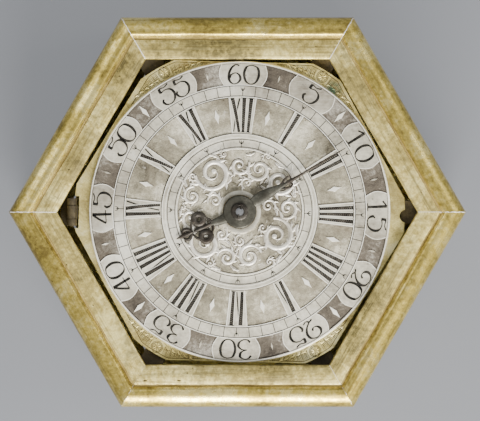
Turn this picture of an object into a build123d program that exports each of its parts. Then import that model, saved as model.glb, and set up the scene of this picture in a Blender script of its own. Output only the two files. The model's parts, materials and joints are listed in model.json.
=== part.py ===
from build123d import *
import math
import os

# Horizontal table clock with a hexagonal case, dial upward. Millimetres, +Z up.
# Origin: centre of the footprint, on the surface the feet stand on.

# ---------------- driving dimensions ----------------
AP_TOP = 59.62        # centre to the two flat sides across Y
AP_SIDE = 60.62       # centre to the four slanted sides
CASE_H = 78.0         # table to the crest of the top moulding
BAND_Z = 76.8         # flat inner band of the top frame
BAND_W = 12.9         # outer edge to the dial opening
GROOVE_D = 6.8        # outer edge to the groove
WALL_Z0, WALL_Z1 = 24.0, 67.0
WALL_D = 4.6          # outer edge to the outside of the wall
WALL_T = 2.0
FOOT_H = 13.0

MX, MY, MROT = 0.7, 0.1, -1.5   # the movement sits slightly off and turned in its opening

DIAL_R = 46.1
DIAL_Z = 73.6         # underside of the silver dial
DIAL_TOP = 74.6
PLATE_Z0 = 72.2       # underside of the gilt dial plate
PLATE_AP = 45.9
PLATE_R = 50.6

MP_R = 36.0           # movement plates
FP0, FP1 = 65.0, 67.0 # front plate
BP0, BP1 = 40.0, 42.0 # back plate

HINGE_X, HINGE_Z = -50.6, 74.6
COVER_HY, COVER_HZ = -44.5, 15.0

# train positions in the movement's own axes
F = (-14.3, -10.1)    # fusee, 17.5 from the centre
B = (12.6, -18.0)     # mainspring barrel
T = (-1.318, 15.062)  # third arbor, 15.12 from the centre
K = (11.664, 18.541)  # contrate arbor, 13.44 from the third
VB = 285.0            # direction from the contrate arbor to the verge
M1, M2, M3 = 0.7, 0.42, 0.42
CROWN_Z = 49.0

os.makedirs("parts", exist_ok=True)


def hexpts(d, k=0.0):
    """Case hexagon moved inward by d: vertices on +X and -X, flats on +Y and -Y."""
    a, s = AP_TOP - d, AP_SIDE - d
    xv = s / math.cos(math.radians(30))
    xt = (s - a * 0.5) / math.cos(math.radians(30))
    return [(xv, 0), (xt, a), (-xt, a), (-xv, 0), (-xt, -a), (xt, -a)]


def export(part, name):
    part.label = name
    export_step(part, "parts/%s.step" % name)


def moved(part):
    """Take a piece from the movement's own axes to the case's axes."""
    loc = Location((MX, MY, 0)) * Location((0, 0, 0), (0, 0, MROT))
    return loc * part


def mexport(part, name):
    kids = list(part.children)
    p = Compound(children=[moved(c) for c in kids]) if kids else moved(part)
    export(p, name)


def gear_pts(n, m, phase, add=1.0, ded=1.25, thin=0.0, pa=20.0, steps=4):
    """Involute outline as straight runs; phase is the angle of the middle of one tooth, degrees."""
    rp = n * m / 2
    rb = rp * math.cos(math.radians(pa))
    ra = rp + add * m
    rf = rp - ded * m
    inv = lambda a: math.tan(a) - a
    half = (math.pi * m / 2 - thin) / (2 * rp)
    ia = inv(math.radians(pa))
    r0 = max(rb, rf)
    pts = []
    for i in range(n):
        c = math.radians(phase) + 2 * math.pi * i / n
        side = []
        for j in range(steps + 1):
            r = r0 + (ra - r0) * j / steps
            al = math.acos(min(1.0, rb / r))
            side.append((r, half + ia - inv(al)))
        left = [(r, c - h) for r, h in side]
        right = [(r, c + h) for r, h in reversed(side)]
        run = left + right
        if rf < rb - 1e-6:
            run = [(rf, c - side[0][1])] + run + [(rf, c + side[0][1])]
        pts += [(r * math.cos(a), r * math.sin(a)) for r, a in run]
    return pts


def ngon(r, n=24, ph=0.0):
    return [(r * math.cos(2 * math.pi * i / n + ph), r * math.sin(2 * math.pi * i / n + ph)) for i in range(n)]


def outline(pts, at=(0, 0)):
    """A closed straight-sided outline as a face for the current sketch."""
    q = [(p[0] + at[0], p[1] + at[1]) for p in pts]
    Polygon(*q, align=None)


def cut_outline(pts, at=(0, 0)):
    q = [(p[0] + at[0], p[1] + at[1]) for p in pts]
    Polygon(*q, align=None, mode=Mode.SUBTRACT)


def mesh_phase(c_from, c_to, n_to, phase_from, n_from):
    """Tooth phase of a gear at c_to that puts a gap on the line of centres where the other has its tooth pattern."""
    th = math.degrees(math.atan2(c_to[1] - c_from[1], c_to[0] - c_from[0]))
    # distance of the line of centres from the nearest tooth of the driver, in pitches
    f = ((th - phase_from) / (360.0 / n_from)) % 1.0
    # the other gear turns the other way, gap against tooth
    return th + 180.0 - (0.5 - f) * (360.0 / n_to) * 1.0


# ---------------- case ----------------
def ring_segments(profile, name):
    """Six mitred lengths: profile is (d inward, z); each length is a loft-free prism cut at its mitres."""
    segs = []
    for i in range(6):
        segs.append(mitred(i, profile))
    comp = Compound(children=segs)
    export(comp, name)


def mitred(i, profile):
    hx = hexpts(0)
    a, b = hx[i], hx[(i + 1) % 6]
    ux, uy = b[0] - a[0], b[1] - a[1]
    L = math.hypot(ux, uy)
    ux, uy = ux / L, uy / L
    nx, ny = -uy, ux          # inward for a counter-clockwise outline
    mid = ((a[0] + b[0]) / 2, (a[1] + b[1]) / 2)
    pl = Plane(origin=(mid[0], mid[1], 0), x_dir=(nx, ny, 0), z_dir=(-ux, -uy, 0))
    # local: X = inward distance, Y = up
    if abs(pl.y_dir.Z - 1) > 1e-6:
        pl = Plane(origin=(mid[0], mid[1], 0), x_dir=(nx, ny, 0), z_dir=(ux, uy, 0))
    with BuildPart() as bar:
        with BuildSketch(pl):
            with BuildLine():
                Polyline(*profile, close=True)
            make_face()
        extrude(amount=L / 2 + 12, both=True)
        # wedge between the two mitre planes through this side's corners
        ia, ib = hexpts(40)[i], hexpts(40)[(i + 1) % 6]
        oa = (a[0] + (a[0] - ia[0]) * 0.5, a[1] + (a[1] - ia[1]) * 0.5)
        ob = (b[0] + (b[0] - ib[0]) * 0.5, b[1] + (b[1] - ib[1]) * 0.5)
        with BuildSketch(Plane.XY) as w:
            with BuildLine():
                Polyline(ia, oa, ob, ib, close=True)
            make_face()
        extrude(amount=100, mode=Mode.INTERSECT)
    return bar.part.solids()[0]


def arc_pts(cx, cz, r, a0, a1, n=8):
    return [(cx + r * math.cos(math.radians(a0 + (a1 - a0) * k / n)),
             cz + r * math.sin(math.radians(a0 + (a1 - a0) * k / n))) for k in range(n + 1)]


# top moulding: ovolo, groove, flat inner band, with a fillet below
top_profile = (
    [(4.6, WALL_Z1)] + [(3.4, WALL_Z1 + 0.4), (1.6, 69.0), (0.6, 70.2)]
    + [(0.0, 71.2), (0.0, 73.6), (0.35, 75.2), (1.1, 76.5), (2.2, 77.4), (3.5, 77.9), (4.6, CASE_H),
       (5.4, 77.8), (6.0, 77.2), (6.3, 76.3), (6.7, 76.0), (7.0, 76.1), (7.2, BAND_Z), (BAND_W - 0.3, BAND_Z),
       (BAND_W, BAND_Z - 0.3), (BAND_W, 71.6), (BAND_W - 2.5, WALL_Z1)]
)
ring_segments(top_profile, "top_frame")

base_profile = [(2.0, 13.4), (13.2, FOOT_H), (13.2, 16.2), (9.0, 16.2), (9.0, 20.0), (6.8, WALL_Z0), (3.8, WALL_Z0),
                (3.0, 22.6), (1.2, 21.6), (0.4, 20.4), (0.4, 18.6), (1.0, 17.6), (1.0, 16.4), (0.4, 15.8), (0.4, 14.6)]
base_profile[0] = (1.4, FOOT_H)
ring_segments(base_profile, "base_frame")

# side panels with a window opening each, mitred at the corners
WIN_W, WIN_H = 34.0, 26.0
WIN_ZC = (WALL_Z0 + WALL_Z1) / 2


def side_plane(i, d):
    hx = hexpts(d)
    a, b = hx[i], hx[(i + 1) % 6]
    ux, uy = b[0] - a[0], b[1] - a[1]
    L = math.hypot(ux, uy)
    ux, uy = ux / L, uy / L
    mid = ((a[0] + b[0]) / 2, (a[1] + b[1]) / 2)
    return Plane(origin=(mid[0], mid[1], WIN_ZC), x_dir=(ux, uy, 0), z_dir=(uy, -ux, 0)), L


panels, panes, bezels = [], [], []
for i in range(6):
    hx_o, hx_i = hexpts(WALL_D), hexpts(WALL_D + WALL_T)
    with BuildPart() as wall:
        with BuildSketch(Plane.XY.offset(WALL_Z0)):
            with BuildLine():
                Polyline(hx_o[i], hx_o[(i + 1) % 6], hx_i[(i + 1) % 6], hx_i[i], close=True)
            make_face()
        extrude(amount=WALL_Z1 - WALL_Z0)
        pl, L = side_plane(i, WALL_D)
        with BuildSketch(pl):
            Rectangle(WIN_W, WIN_H)
        extrude(amount=5, both=True, mode=Mode.SUBTRACT)
    panels.append(wall.part.solids()[0])
    pl, L = side_plane(i, WALL_D + WALL_T)
    with BuildPart() as pane:
        with BuildSketch(pl):
            Rectangle(WIN_W + 5, WIN_H + 5)
        extrude(amount=-1.2)
    panes.append(pane.part.solids()[0])
    pl, L = side_plane(i, WALL_D)
    with BuildPart() as bez:
        with BuildSketch(pl):
            Rectangle(WIN_W + 5, WIN_H + 5)
            Rectangle(WIN_W, WIN_H, mode=Mode.SUBTRACT)
        extrude(amount=1.2)
        chamfer(bez.faces().sort_by(SortBy.AREA)[-1].outer_wire().edges(), 0.3)
    bezels.append(bez.part.solids()[0])
export(Compound(children=panels), "side_panels")
export(Compound(children=panes), "window_panes")
export(Compound(children=bezels), "window_frames")

# corner pilasters: slim turned columns standing on the wall corners outside the mitre
pils = []
for x, y in hexpts(WALL_D - 0.6):
    n = math.hypot(x, y)
    cx, cy = x + x / n * 0.6, y + y / n * 0.6
    with BuildPart() as pil:
        with BuildSketch(Plane(origin=(cx, cy, 0), x_dir=(1, 0, 0), z_dir=(0, -1, 0))):
            with BuildLine():
                Polyline((0, WALL_Z0), (2.0, WALL_Z0), (2.0, 26), (1.3, 27), (1.5, 30), (1.35, 45), (1.2, 60.5),
                         (1.5, 62), (1.3, 63), (2.0, 65), (2.0, WALL_Z1), (0, WALL_Z1), close=True)
            make_face()
        revolve(axis=Axis((cx, cy, 0), (0, 0, 1)))
        # keep it outside the wall
        with BuildSketch(Plane.XY.offset(WALL_Z0 - 1)):
            with BuildLine():
                Polyline(*hexpts(WALL_D), close=True)
            make_face()
        extrude(amount=60, mode=Mode.SUBTRACT)
    pils.append(pil.part.solids().sort_by(SortBy.VOLUME)[-1])
export(Compound(children=pils), "corner_pilasters")

# bun feet under the base corners, each on a turned neck with its screw going up into the base
feet = []
for x, y in hexpts(7.2):
    with BuildPart() as foot:
        with BuildSketch(Plane(origin=(x, y, 0), x_dir=(1, 0, 0), z_dir=(0, -1, 0))):
            with BuildLine():
                Polyline((0, 0), (3.4, 0), (5.2, 0.9), (6.3, 2.8), (6.5, 4.6), (6.0, 6.6), (4.6, 8.2), (3.0, 9.0),
                         (2.6, 9.8), (3.0, 10.5), (4.6, 11.2), (4.8, FOOT_H), (0, FOOT_H), close=True)
            make_face()
        revolve(axis=Axis((x, y, 0), (0, 0, 1)))
    feet.append(foot.part.solids()[0])
export(Compound(children=feet), "feet")

# four support lugs under the dial plate's corners at 60, 120, 240 and 300 degrees
lugs = []
for ang in (60, 120, 240, 300):
    x0, y0 = 54.2 * math.cos(math.radians(ang)), 54.2 * math.sin(math.radians(ang))
    with BuildPart() as lug:
        with BuildSketch(Plane.XY.offset(70.55)):
            with Locations(Location((x0 * 0.935, y0 * 0.935, 0), (0, 0, ang))):
                Rectangle(8.6, 7.0)
        extrude(amount=1.6)
        with BuildSketch(Plane.XY.offset(70.0)):
            with BuildLine():
                Polyline(*hexpts(BAND_W), close=True)
            make_face()
        extrude(amount=5, mode=Mode.INTERSECT)
    lugs.append(lug.part.solids()[0])
export(Compound(children=lugs), "dial_lugs")

# ---------------- movement hinge at the left corner ----------------
KN_R = 1.5
with BuildPart() as leaf_c:
    with BuildSketch(Plane(origin=(HINGE_X, 2.2, HINGE_Z), x_dir=(1, 0, 0), z_dir=(0, 1, 0))):
        Circle(KN_R)
        with Locations((-0.1, 2.2)):
            Rectangle(1.6, 4.4)
        Circle(0.62, mode=Mode.SUBTRACT)
    extrude(amount=2.0)
    with BuildSketch(Plane(origin=(HINGE_X, -4.2, HINGE_Z), x_dir=(1, 0, 0), z_dir=(0, 1, 0))):
        Circle(KN_R)
        with Locations((-0.1, 2.2)):
            Rectangle(1.6, 4.4)
        Circle(0.62, mode=Mode.SUBTRACT)
    extrude(amount=2.0)
    with BuildSketch(Plane.XY.offset(69.2)):
        with Locations((HINGE_X - 1.2, 0)):
            Rectangle(4.6, 8.4)
    extrude(amount=1.4)
    with BuildSketch(Plane.XY.offset(60)):
        with BuildLine():
            Polyline(*hexpts(BAND_W + 0.02), close=True)
        make_face()
    extrude(amount=20, mode=Mode.INTERSECT)
case_leaf = leaf_c.part

with BuildPart() as hpin:
    with BuildSketch(Plane(origin=(HINGE_X, -4.4, HINGE_Z), x_dir=(1, 0, 0), z_dir=(0, 1, 0))):
        Circle(0.55)
    extrude(amount=8.8)
export(case_leaf, "movement_hinge_case_leaf")
export(hpin.part, "movement_hinge_pin")

with BuildPart() as leaf_m:
    with BuildSketch(Plane(origin=(HINGE_X, -2.0, HINGE_Z), x_dir=(1, 0, 0), z_dir=(0, 1, 0))):
        Circle(KN_R)
        with Locations((0.9, 1.9)):
            Rectangle(1.7, 3.0)
        Circle(0.62, mode=Mode.SUBTRACT)
    extrude(amount=4.0)
    with BuildSketch(Plane.XY.offset(PLATE_Z0 - 0.9)):
        with Locations((HINGE_X + 6.0, 0)):
            Rectangle(11.0, 4.0)
    extrude(amount=0.9)
export(leaf_m.part, "movement_hinge_leaf")

# movement catch: a bolt in a guide under the right corner of the frame
with BuildPart() as cguide:
    with BuildSketch(Plane.XY.offset(69.0)):
        with Locations((52.6, 0)):
            Rectangle(4.8, 7.0)
    extrude(amount=3.0)
    with BuildSketch(Plane.XY.offset(69.85)):
        with Locations((52.6, 0)):
            Rectangle(6.0, 3.1)
    extrude(amount=1.4, mode=Mode.SUBTRACT)
    with BuildSketch(Plane.XY.offset(60)):
        with BuildLine():
            Polyline(*hexpts(BAND_W + 0.02), close=True)
        make_face()
    extrude(amount=20, mode=Mode.INTERSECT)
export(cguide.part, "catch_guide")
with BuildPart() as cbolt:
    with BuildSketch(Plane.XY.offset(69.95)):
        with Locations((51.7, 0)):
            Rectangle(4.2, 2.8)
    extrude(amount=1.2)
export(cbolt.part, "movement_catch")

# ---------------- base cover with the bell ----------------
COV_D = 10.6
with BuildPart() as cover:
    with BuildSketch(Plane.XY.offset(14.2)):
        with BuildLine():
            Polyline(*hexpts(13.8), close=True)
        make_face()
        # knuckle space at the hinge side
        with Locations((0, COVER_HY - 0.2)):
            Rectangle(26, 4.4, mode=Mode.SUBTRACT)
        # sound openings: a ring of slots round the bell seat
        with PolarLocations(38.5, 12, start_angle=15):
            SlotOverall(9.0, 3.4, rotation=90, mode=Mode.SUBTRACT)
        Circle(1.6, mode=Mode.SUBTRACT)
        with Locations((0, 42.6)):
            Circle(0.96, mode=Mode.SUBTRACT)
        # corners cut back beside the hinge, so that the cover clears the frame as it swings
        for sx in (-1, 1):
            with Locations((sx * 31.0, -44.5)):
                Rectangle(13.0, 7.4, mode=Mode.SUBTRACT)
    extrude(amount=1.6)
export(cover.part, "base_cover")

with BuildPart() as bell:
    with BuildSketch(Plane.XZ):
        with BuildLine():
            Polyline((1.7, 18.6), (14, 18.8), (23, 20.2), (27.6, 23.2), (29.4, 27), (30.2, 31.0), (31.2, 31.0),
                     (30.6, 26.4), (28.6, 22.0), (23.6, 18.6), (14, 17.0), (1.7, 16.8), close=True)
        make_face()
    revolve(axis=Axis.Z)
export(bell.part, "bell")

with BuildPart() as stud:
    with BuildSketch(Plane.XZ):
        with BuildLine():
            Polyline((0, 13.2), (3.4, 13.2), (3.4, 14.2), (1.6, 14.2), (1.6, 15.8), (3.0, 15.8), (3.0, 16.8),
                     (1.6, 16.8), (1.6, 21.4), (0, 21.4), close=True)
        make_face()
    revolve(axis=Axis.Z)
with BuildPart() as bnut:
    with BuildSketch(Plane.XY.offset(18.72)):
        RegularPolygon(3.4, 6)
        Circle(1.6, mode=Mode.SUBTRACT)
    extrude(amount=1.8)
export(Compound(children=[stud.part.solids()[0], bnut.part.solids()[0]]), "bell_stud")

# hinge of the base cover on the flat side at -Y
with BuildPart() as cl:
    for x0 in (-12.0, 7.0):
        with BuildSketch(Plane(origin=(x0, COVER_HY, COVER_HZ), x_dir=(0, 1, 0), z_dir=(1, 0, 0))):
            Circle(1.7)
            Circle(0.66, mode=Mode.SUBTRACT)
        extrude(amount=5.0)
        with BuildSketch(Plane.XY.offset(16.2)):
            with Locations((x0 + 2.5, COVER_HY - 2.6)):
                Rectangle(5.0, 5.2)
        extrude(amount=1.2)
    with BuildSketch(Plane.XY.offset(16.2)):
        with Locations((0, -48.7)):
            Rectangle(24.0, 3.0)
    extrude(amount=1.2)
base_leaf = cl.part
with BuildPart() as cp:
    with BuildSketch(Plane(origin=(-12.4, COVER_HY, COVER_HZ), x_dir=(0, 1, 0), z_dir=(1, 0, 0))):
        Circle(0.6)
    extrude(amount=24.8)
export(cp.part, "base_cover_hinge_pin")
with BuildPart() as cm:
    with BuildSketch(Plane(origin=(-6.8, COVER_HY, COVER_HZ), x_dir=(0, 1, 0), z_dir=(1, 0, 0))):
        Circle(1.7)
        Circle(0.66, mode=Mode.SUBTRACT)
    extrude(amount=13.6)
    with BuildSketch(Plane.XY.offset(13.3)):
        with Locations((0, COVER_HY + 5.2)):
            Rectangle(13.6, 8.8)
    extrude(amount=0.9)
export(cm.part, "base_cover_hinge_leaf")
export(base_leaf, "base_frame_hinge_leaf")

# turn catch on the cover at +Y: a knob below, a stem through the cover and a lever above the frame's ledge;
# at rest the lever points inward, free of the frame
CATCH_Y = 42.6
with BuildPart() as tc:
    with BuildSketch(Plane.XY.offset(16.4)):
        with BuildLine():
            Polyline((-2.0, CATCH_Y + 1.0), (-1.4, CATCH_Y - 7.3), (1.4, CATCH_Y - 7.3), (2.0, CATCH_Y + 1.0), close=True)
        make_face()
        with Locations((0, CATCH_Y)):
            Circle(2.2)
            Circle(0.92, mode=Mode.SUBTRACT)
    extrude(amount=1.0)
export(tc.part, "base_catch")
with BuildPart() as ts:
    with BuildSketch(Plane.XY.offset(12.5)):
        with Locations((0, CATCH_Y)):
            Circle(2.5)
    extrude(amount=1.6)
    chamfer(ts.faces().sort_by(Axis.Z)[0].edges(), 0.4)
    with BuildSketch(Plane.XY.offset(14.1)):
        with Locations((0, CATCH_Y)):
            Circle(0.9)
    extrude(amount=3.3)
    with BuildSketch(Plane.XY.offset(17.4)):
        with Locations((0, CATCH_Y)):
            Circle(1.6)
    extrude(amount=0.6)
export(ts.part, "base_catch_screw")

# ---------------- dial ----------------
def dial_hex(ap, right, left):
    """Outline of the dial plate from its distances: top and bottom, the two right sides, the two left sides."""
    c = math.cos(math.radians(30))
    xr, xl = (right - ap / 2) / c, (left - ap / 2) / c
    return [(right / c, 0), (xr, ap), (-xl, ap), (-left / c, 0), (-xl, -ap), (xr, -ap)]


with BuildPart() as dplate:
    with BuildSketch(Plane.XY.offset(PLATE_Z0)):
        with BuildLine():
            Polyline(*dial_hex(PLATE_AP, 46.3, 47.0), close=True)
        make_face()
        Circle(PLATE_R, mode=Mode.INTERSECT)
        Circle(6.2, mode=Mode.SUBTRACT)
        with Locations((51.0, 0)):
            Circle(2.0, mode=Mode.SUBTRACT)
        with Locations((-51.4, -1.4)):
            Rectangle(4.4, 9.8, mode=Mode.SUBTRACT)
    extrude(amount=DIAL_Z - PLATE_Z0)
    # catch tab with its window, below the right corner
    with BuildSketch(Plane(origin=(46.6, 0, 0), x_dir=(0, 1, 0), z_dir=(1, 0, 0))):
        with Locations((1.12, (68.4 + PLATE_Z0) / 2)):
            Rectangle(6.4, PLATE_Z0 - 68.4)
        with Locations((1.12, 70.55)):
            Rectangle(3.8, 1.6, mode=Mode.SUBTRACT)
    extrude(amount=1.0)

with BuildPart() as disc:
    with BuildSketch(Plane.XY.offset(DIAL_Z)):
        Circle(DIAL_R)
        Circle(5.2, mode=Mode.SUBTRACT)
    extrude(amount=DIAL_TOP - DIAL_Z)
mexport(disc.part, "dial_disc")

# ---------------- movement frame ----------------
V = (K[0] + 19.4 * math.cos(math.radians(VB)), K[1] + 19.4 * math.sin(math.radians(VB)))
H = (-20.5, 19.5)
PILLARS = [(-31.0, 8.0), (0.5, 33.0), (31.0, 10.0), (-12.0, -31.0), (28.5, -17.0 + 2.0)]
PIV = 0.62   # pivot hole radius


def plate(z0, z1, holes):
    with BuildPart() as p:
        with BuildSketch(Plane.XY.offset(z0)):
            Circle(MP_R)
            for (x, y), r in holes:
                with Locations((x, y)):
                    Circle(r, mode=Mode.SUBTRACT)
        extrude(amount=z1 - z0)
        chamfer(p.edges().filter_by(GeomType.CIRCLE).sort_by(SortBy.RADIUS)[-2:], 0.3)
    return p.part


pil_holes = [(p, 1.5) for p in PILLARS]
mexport(plate(FP0, FP1, pil_holes + [((0, 0), 1.3), (F, PIV), (B, 1.3), (T, PIV), (K, PIV), (H, PIV)]), "front_plate")
mexport(plate(BP0, BP1, pil_holes + [((0, 0), PIV), (F, 1.8), (B, 1.8), (T, PIV), (K, PIV), (V, 2.0), (H, 1.1)]),
        "back_plate")

pls = []
for x, y in PILLARS:
    with BuildPart() as pl_:
        with BuildSketch(Plane(origin=(x, y, 0), x_dir=(1, 0, 0), z_dir=(0, -1, 0))):
            with BuildLine():
                Polyline((0, 38.6), (1.45, 38.6), (1.45, BP1), (2.6, BP1), (2.6, 43.2), (1.7, 44.2), (1.9, 48),
                         (2.6, 52.6), (2.6, 54.4), (1.9, 59), (1.7, 62.8), (2.6, 63.8), (2.6, FP0), (1.45, FP0),
                         (1.45, 68.2), (0, 68.2), close=True)
            make_face()
        revolve(axis=Axis((x, y, 0), (0, 0, 1)))
    pls.append(pl_.part.solids()[0])
mexport(Compound(children=pls), "plate_pillars")
nuts = []
for x, y in PILLARS:
    for z in (38.4, FP1):
        with BuildPart() as nt:
            with BuildSketch(Plane.XY.offset(z)):
                with Locations((x, y)):
                    RegularPolygon(2.7, 6)
                    Circle(1.45, mode=Mode.SUBTRACT)
            extrude(amount=1.6 if z < 50 else 1.4)
        nuts.append(nt.part.solids()[0])
mexport(Compound(children=nuts), "pillar_nuts")

# dial feet between the dial plate and the front plate
dfs = []
for ang in (40, 140, 215, 325):
    x, y = 33.4 * math.cos(math.radians(ang)), 33.4 * math.sin(math.radians(ang))
    with BuildPart() as df:
        with BuildSketch(Plane.XY.offset(FP1)):
            with Locations((x, y)):
                Circle(1.6)
        extrude(amount=PLATE_Z0 - FP1)
    dfs.append(df.part.solids()[0])
with BuildPart() as dplate2:
    add(dplate.part)
    for df_ in dfs:
        add(df_)
mexport(dplate2.part, "dial_plate")


# ---------------- wheels and arbors ----------------
def wheel(pts, z0, z1, at, bore, spokes=4, r_in=None, r_hub=None):
    """Flat wheel with crossings."""
    with BuildPart() as w:
        with BuildSketch(Plane.XY.offset(z0)):
            outline(pts, at)
            if r_in:
                for k in range(spokes):
                    a0 = 360.0 / spokes * k
                    g = 1.0
                    da_o = math.degrees(g / r_in)
                    da_i = math.degrees(g / r_hub)
                    n = 8
                    outer = [(r_in * math.cos(math.radians(a0 + da_o + (360.0 / spokes - 2 * da_o) * j / n)),
                              r_in * math.sin(math.radians(a0 + da_o + (360.0 / spokes - 2 * da_o) * j / n)))
                             for j in range(n + 1)]
                    inner = [(r_hub * math.cos(math.radians(a0 + da_i + (360.0 / spokes - 2 * da_i) * j / 4)),
                              r_hub * math.sin(math.radians(a0 + da_i + (360.0 / spokes - 2 * da_i) * j / 4)))
                             for j in range(5)]
                    cut_outline(outer + inner[::-1], at)
            cut_outline(ngon(bore), at)
        extrude(amount=z1 - z0)
    return w.part


def prism(pts, z0, z1, at):
    with BuildPart() as w:
        with BuildSketch(Plane.XY.offset(z0)):
            outline(pts, at)
        extrude(amount=z1 - z0)
    return w.part


def shaft(runs, at):
    """Stepped round shaft: runs is a list of (radius, z0, z1)."""
    pr = [(0, runs[0][1])]
    for r, a, b in runs:
        pr += [(r, a), (r, b)]
    pr += [(0, runs[-1][2])]
    pr = [p for i, p in enumerate(pr) if i == 0 or math.dist(p, pr[i - 1]) > 1e-6]
    with BuildPart() as s:
        with BuildSketch(Plane(origin=(at[0], at[1], 0), x_dir=(1, 0, 0), z_dir=(0, -1, 0))):
            with BuildLine():
                Polyline(*pr, close=True)
            make_face()
        revolve(axis=Axis((at[0], at[1], 0), (0, 0, 1)))
    return s.part


BACK = 0.10
# great wheel on the fusee, 40 teeth, into the centre pinion of 10
ph_c = 0.0
ph_g = mesh_phase((0, 0), F, 40, ph_c, 10)
gw = wheel(gear_pts(40, M1, ph_g, add=0.8, thin=BACK), 44.2, 45.8, F, 2.24, 5, 11.4, 4.2)
mexport(gw, "great_wheel")
cp10 = prism(gear_pts(10, M1, ph_c, add=0.8, ded=1.1, thin=BACK), 43.4, 46.6, (0, 0))
c_arbor = shaft([(0.52, BP0 + 0.2, BP1 + 0.3), (1.2, BP1 + 0.3, 77.2), (0.8, 77.2, 78.0)], (0, 0))
with BuildPart() as ca:
    add(c_arbor)
    add(cp10)
ca_part = ca.part
# centre wheel 64 into third pinion 8
ph_cw = 0.0
ph_tp = mesh_phase((0, 0), T, 8, ph_cw, 64)
cw = wheel(gear_pts(64, M2, ph_cw, add=0.8, thin=BACK, steps=3), 61.0, 62.0, (0, 0), 1.22, 4, 11.2, 3.0)
mexport(cw, "centre_wheel")
tp = prism(gear_pts(8, M2, ph_tp, add=0.75, ded=1.05, thin=BACK), 60.2, 62.7, T)
t_arbor = shaft([(0.52, BP0 + 0.2, BP1 + 0.3), (0.85, BP1 + 0.3, FP0 - 0.3), (0.52, FP0 - 0.3, FP1 - 0.2)], T)
with BuildPart() as ta:
    add(t_arbor)
    add(tp)
mexport(ta.part, "third_arbor")
# third wheel 56 into contrate pinion 8
ph_tw = 7.0
ph_kp = mesh_phase(T, K, 8, ph_tw, 56)
tw = wheel(gear_pts(56, M3, ph_tw, add=0.8, thin=BACK, steps=3), 63.0, 63.9, T, 0.87, 4, 9.8, 2.6)
mexport(tw, "third_wheel")
kp = prism(gear_pts(8, M3, ph_kp, add=0.75, ded=1.05, thin=BACK), 62.4, 64.5, K)
k_arbor = shaft([(0.52, BP0 + 0.2, BP1 + 0.3), (0.85, BP1 + 0.3, FP0 - 0.3), (0.52, FP0 - 0.3, FP1 - 0.2)], K)
with BuildPart() as ka:
    add(k_arbor)
    add(kp)
mexport(ka.part, "contrate_arbor")

# contrate wheel: teeth on the underside of its rim, 48, into the crown pinion of 8
N_K, RC = 48, 10.08
PZ = CROWN_Z + 1.68          # pitch plane
with BuildPart() as kw:
    with BuildSketch(Plane.XY.offset(PZ + 0.55)):
        with Locations(K):
            Circle(RC + 0.75)
    extrude(amount=1.5)
    with BuildSketch(Plane.XY.offset(PZ + 0.55)):
        for k in range(4):
            a0 = 90.0 * k
            r_in, r_hub, g = 8.3, 2.8, 1.0
            do, di = math.degrees(g / r_in), math.degrees(g / r_hub)
            outer = [(r_in * math.cos(math.radians(a0 + do + (90 - 2 * do) * j / 8)),
                      r_in * math.sin(math.radians(a0 + do + (90 - 2 * do) * j / 8))) for j in range(9)]
            inner = [(r_hub * math.cos(math.radians(a0 + di + (90 - 2 * di) * j / 4)),
                      r_hub * math.sin(math.radians(a0 + di + (90 - 2 * di) * j / 4))) for j in range(5)]
            outline(outer + inner[::-1], K)
        with Locations(K):
            Circle(0.87)
    extrude(amount=1.5, mode=Mode.SUBTRACT)
    pitch = 360.0 / N_K
    for k in range(N_K):
        a = math.radians(VB + pitch * (k + 0.5))   # a gap stands on the line toward the crown arbor
        ca_, sa_ = math.cos(a), math.sin(a)
        pl = Plane(origin=(K[0] + (RC - 0.65) * ca_, K[1] + (RC - 0.65) * sa_, PZ + 0.6),
                   x_dir=(-sa_, ca_, 0), z_dir=(ca_, sa_, 0))
        sgn = 1 if pl.y_dir.Z > 0 else -1
        with BuildSketch(pl):
            with BuildLine():
                Polyline((-0.36, 0.1 * sgn), (-0.30, -0.55 * sgn), (-0.12, -0.92 * sgn), (0.12, -0.92 * sgn),
                         (0.30, -0.55 * sgn), (0.36, 0.1 * sgn), close=True)
            make_face()
        extrude(amount=1.3)
mexport(kw.part, "contrate_wheel")

# crown wheel and its horizontal arbor along the line from the contrate arbor to the verge
DV = (math.cos(math.radians(VB)), math.sin(math.radians(VB)))


def on_line(s, z=CROWN_Z):
    return (K[0] + s * DV[0], K[1] + s * DV[1], z)


def cplane(s):
    return Plane(origin=on_line(s), x_dir=(-DV[1], DV[0], 0), z_dir=(DV[0], DV[1], 0))


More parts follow.
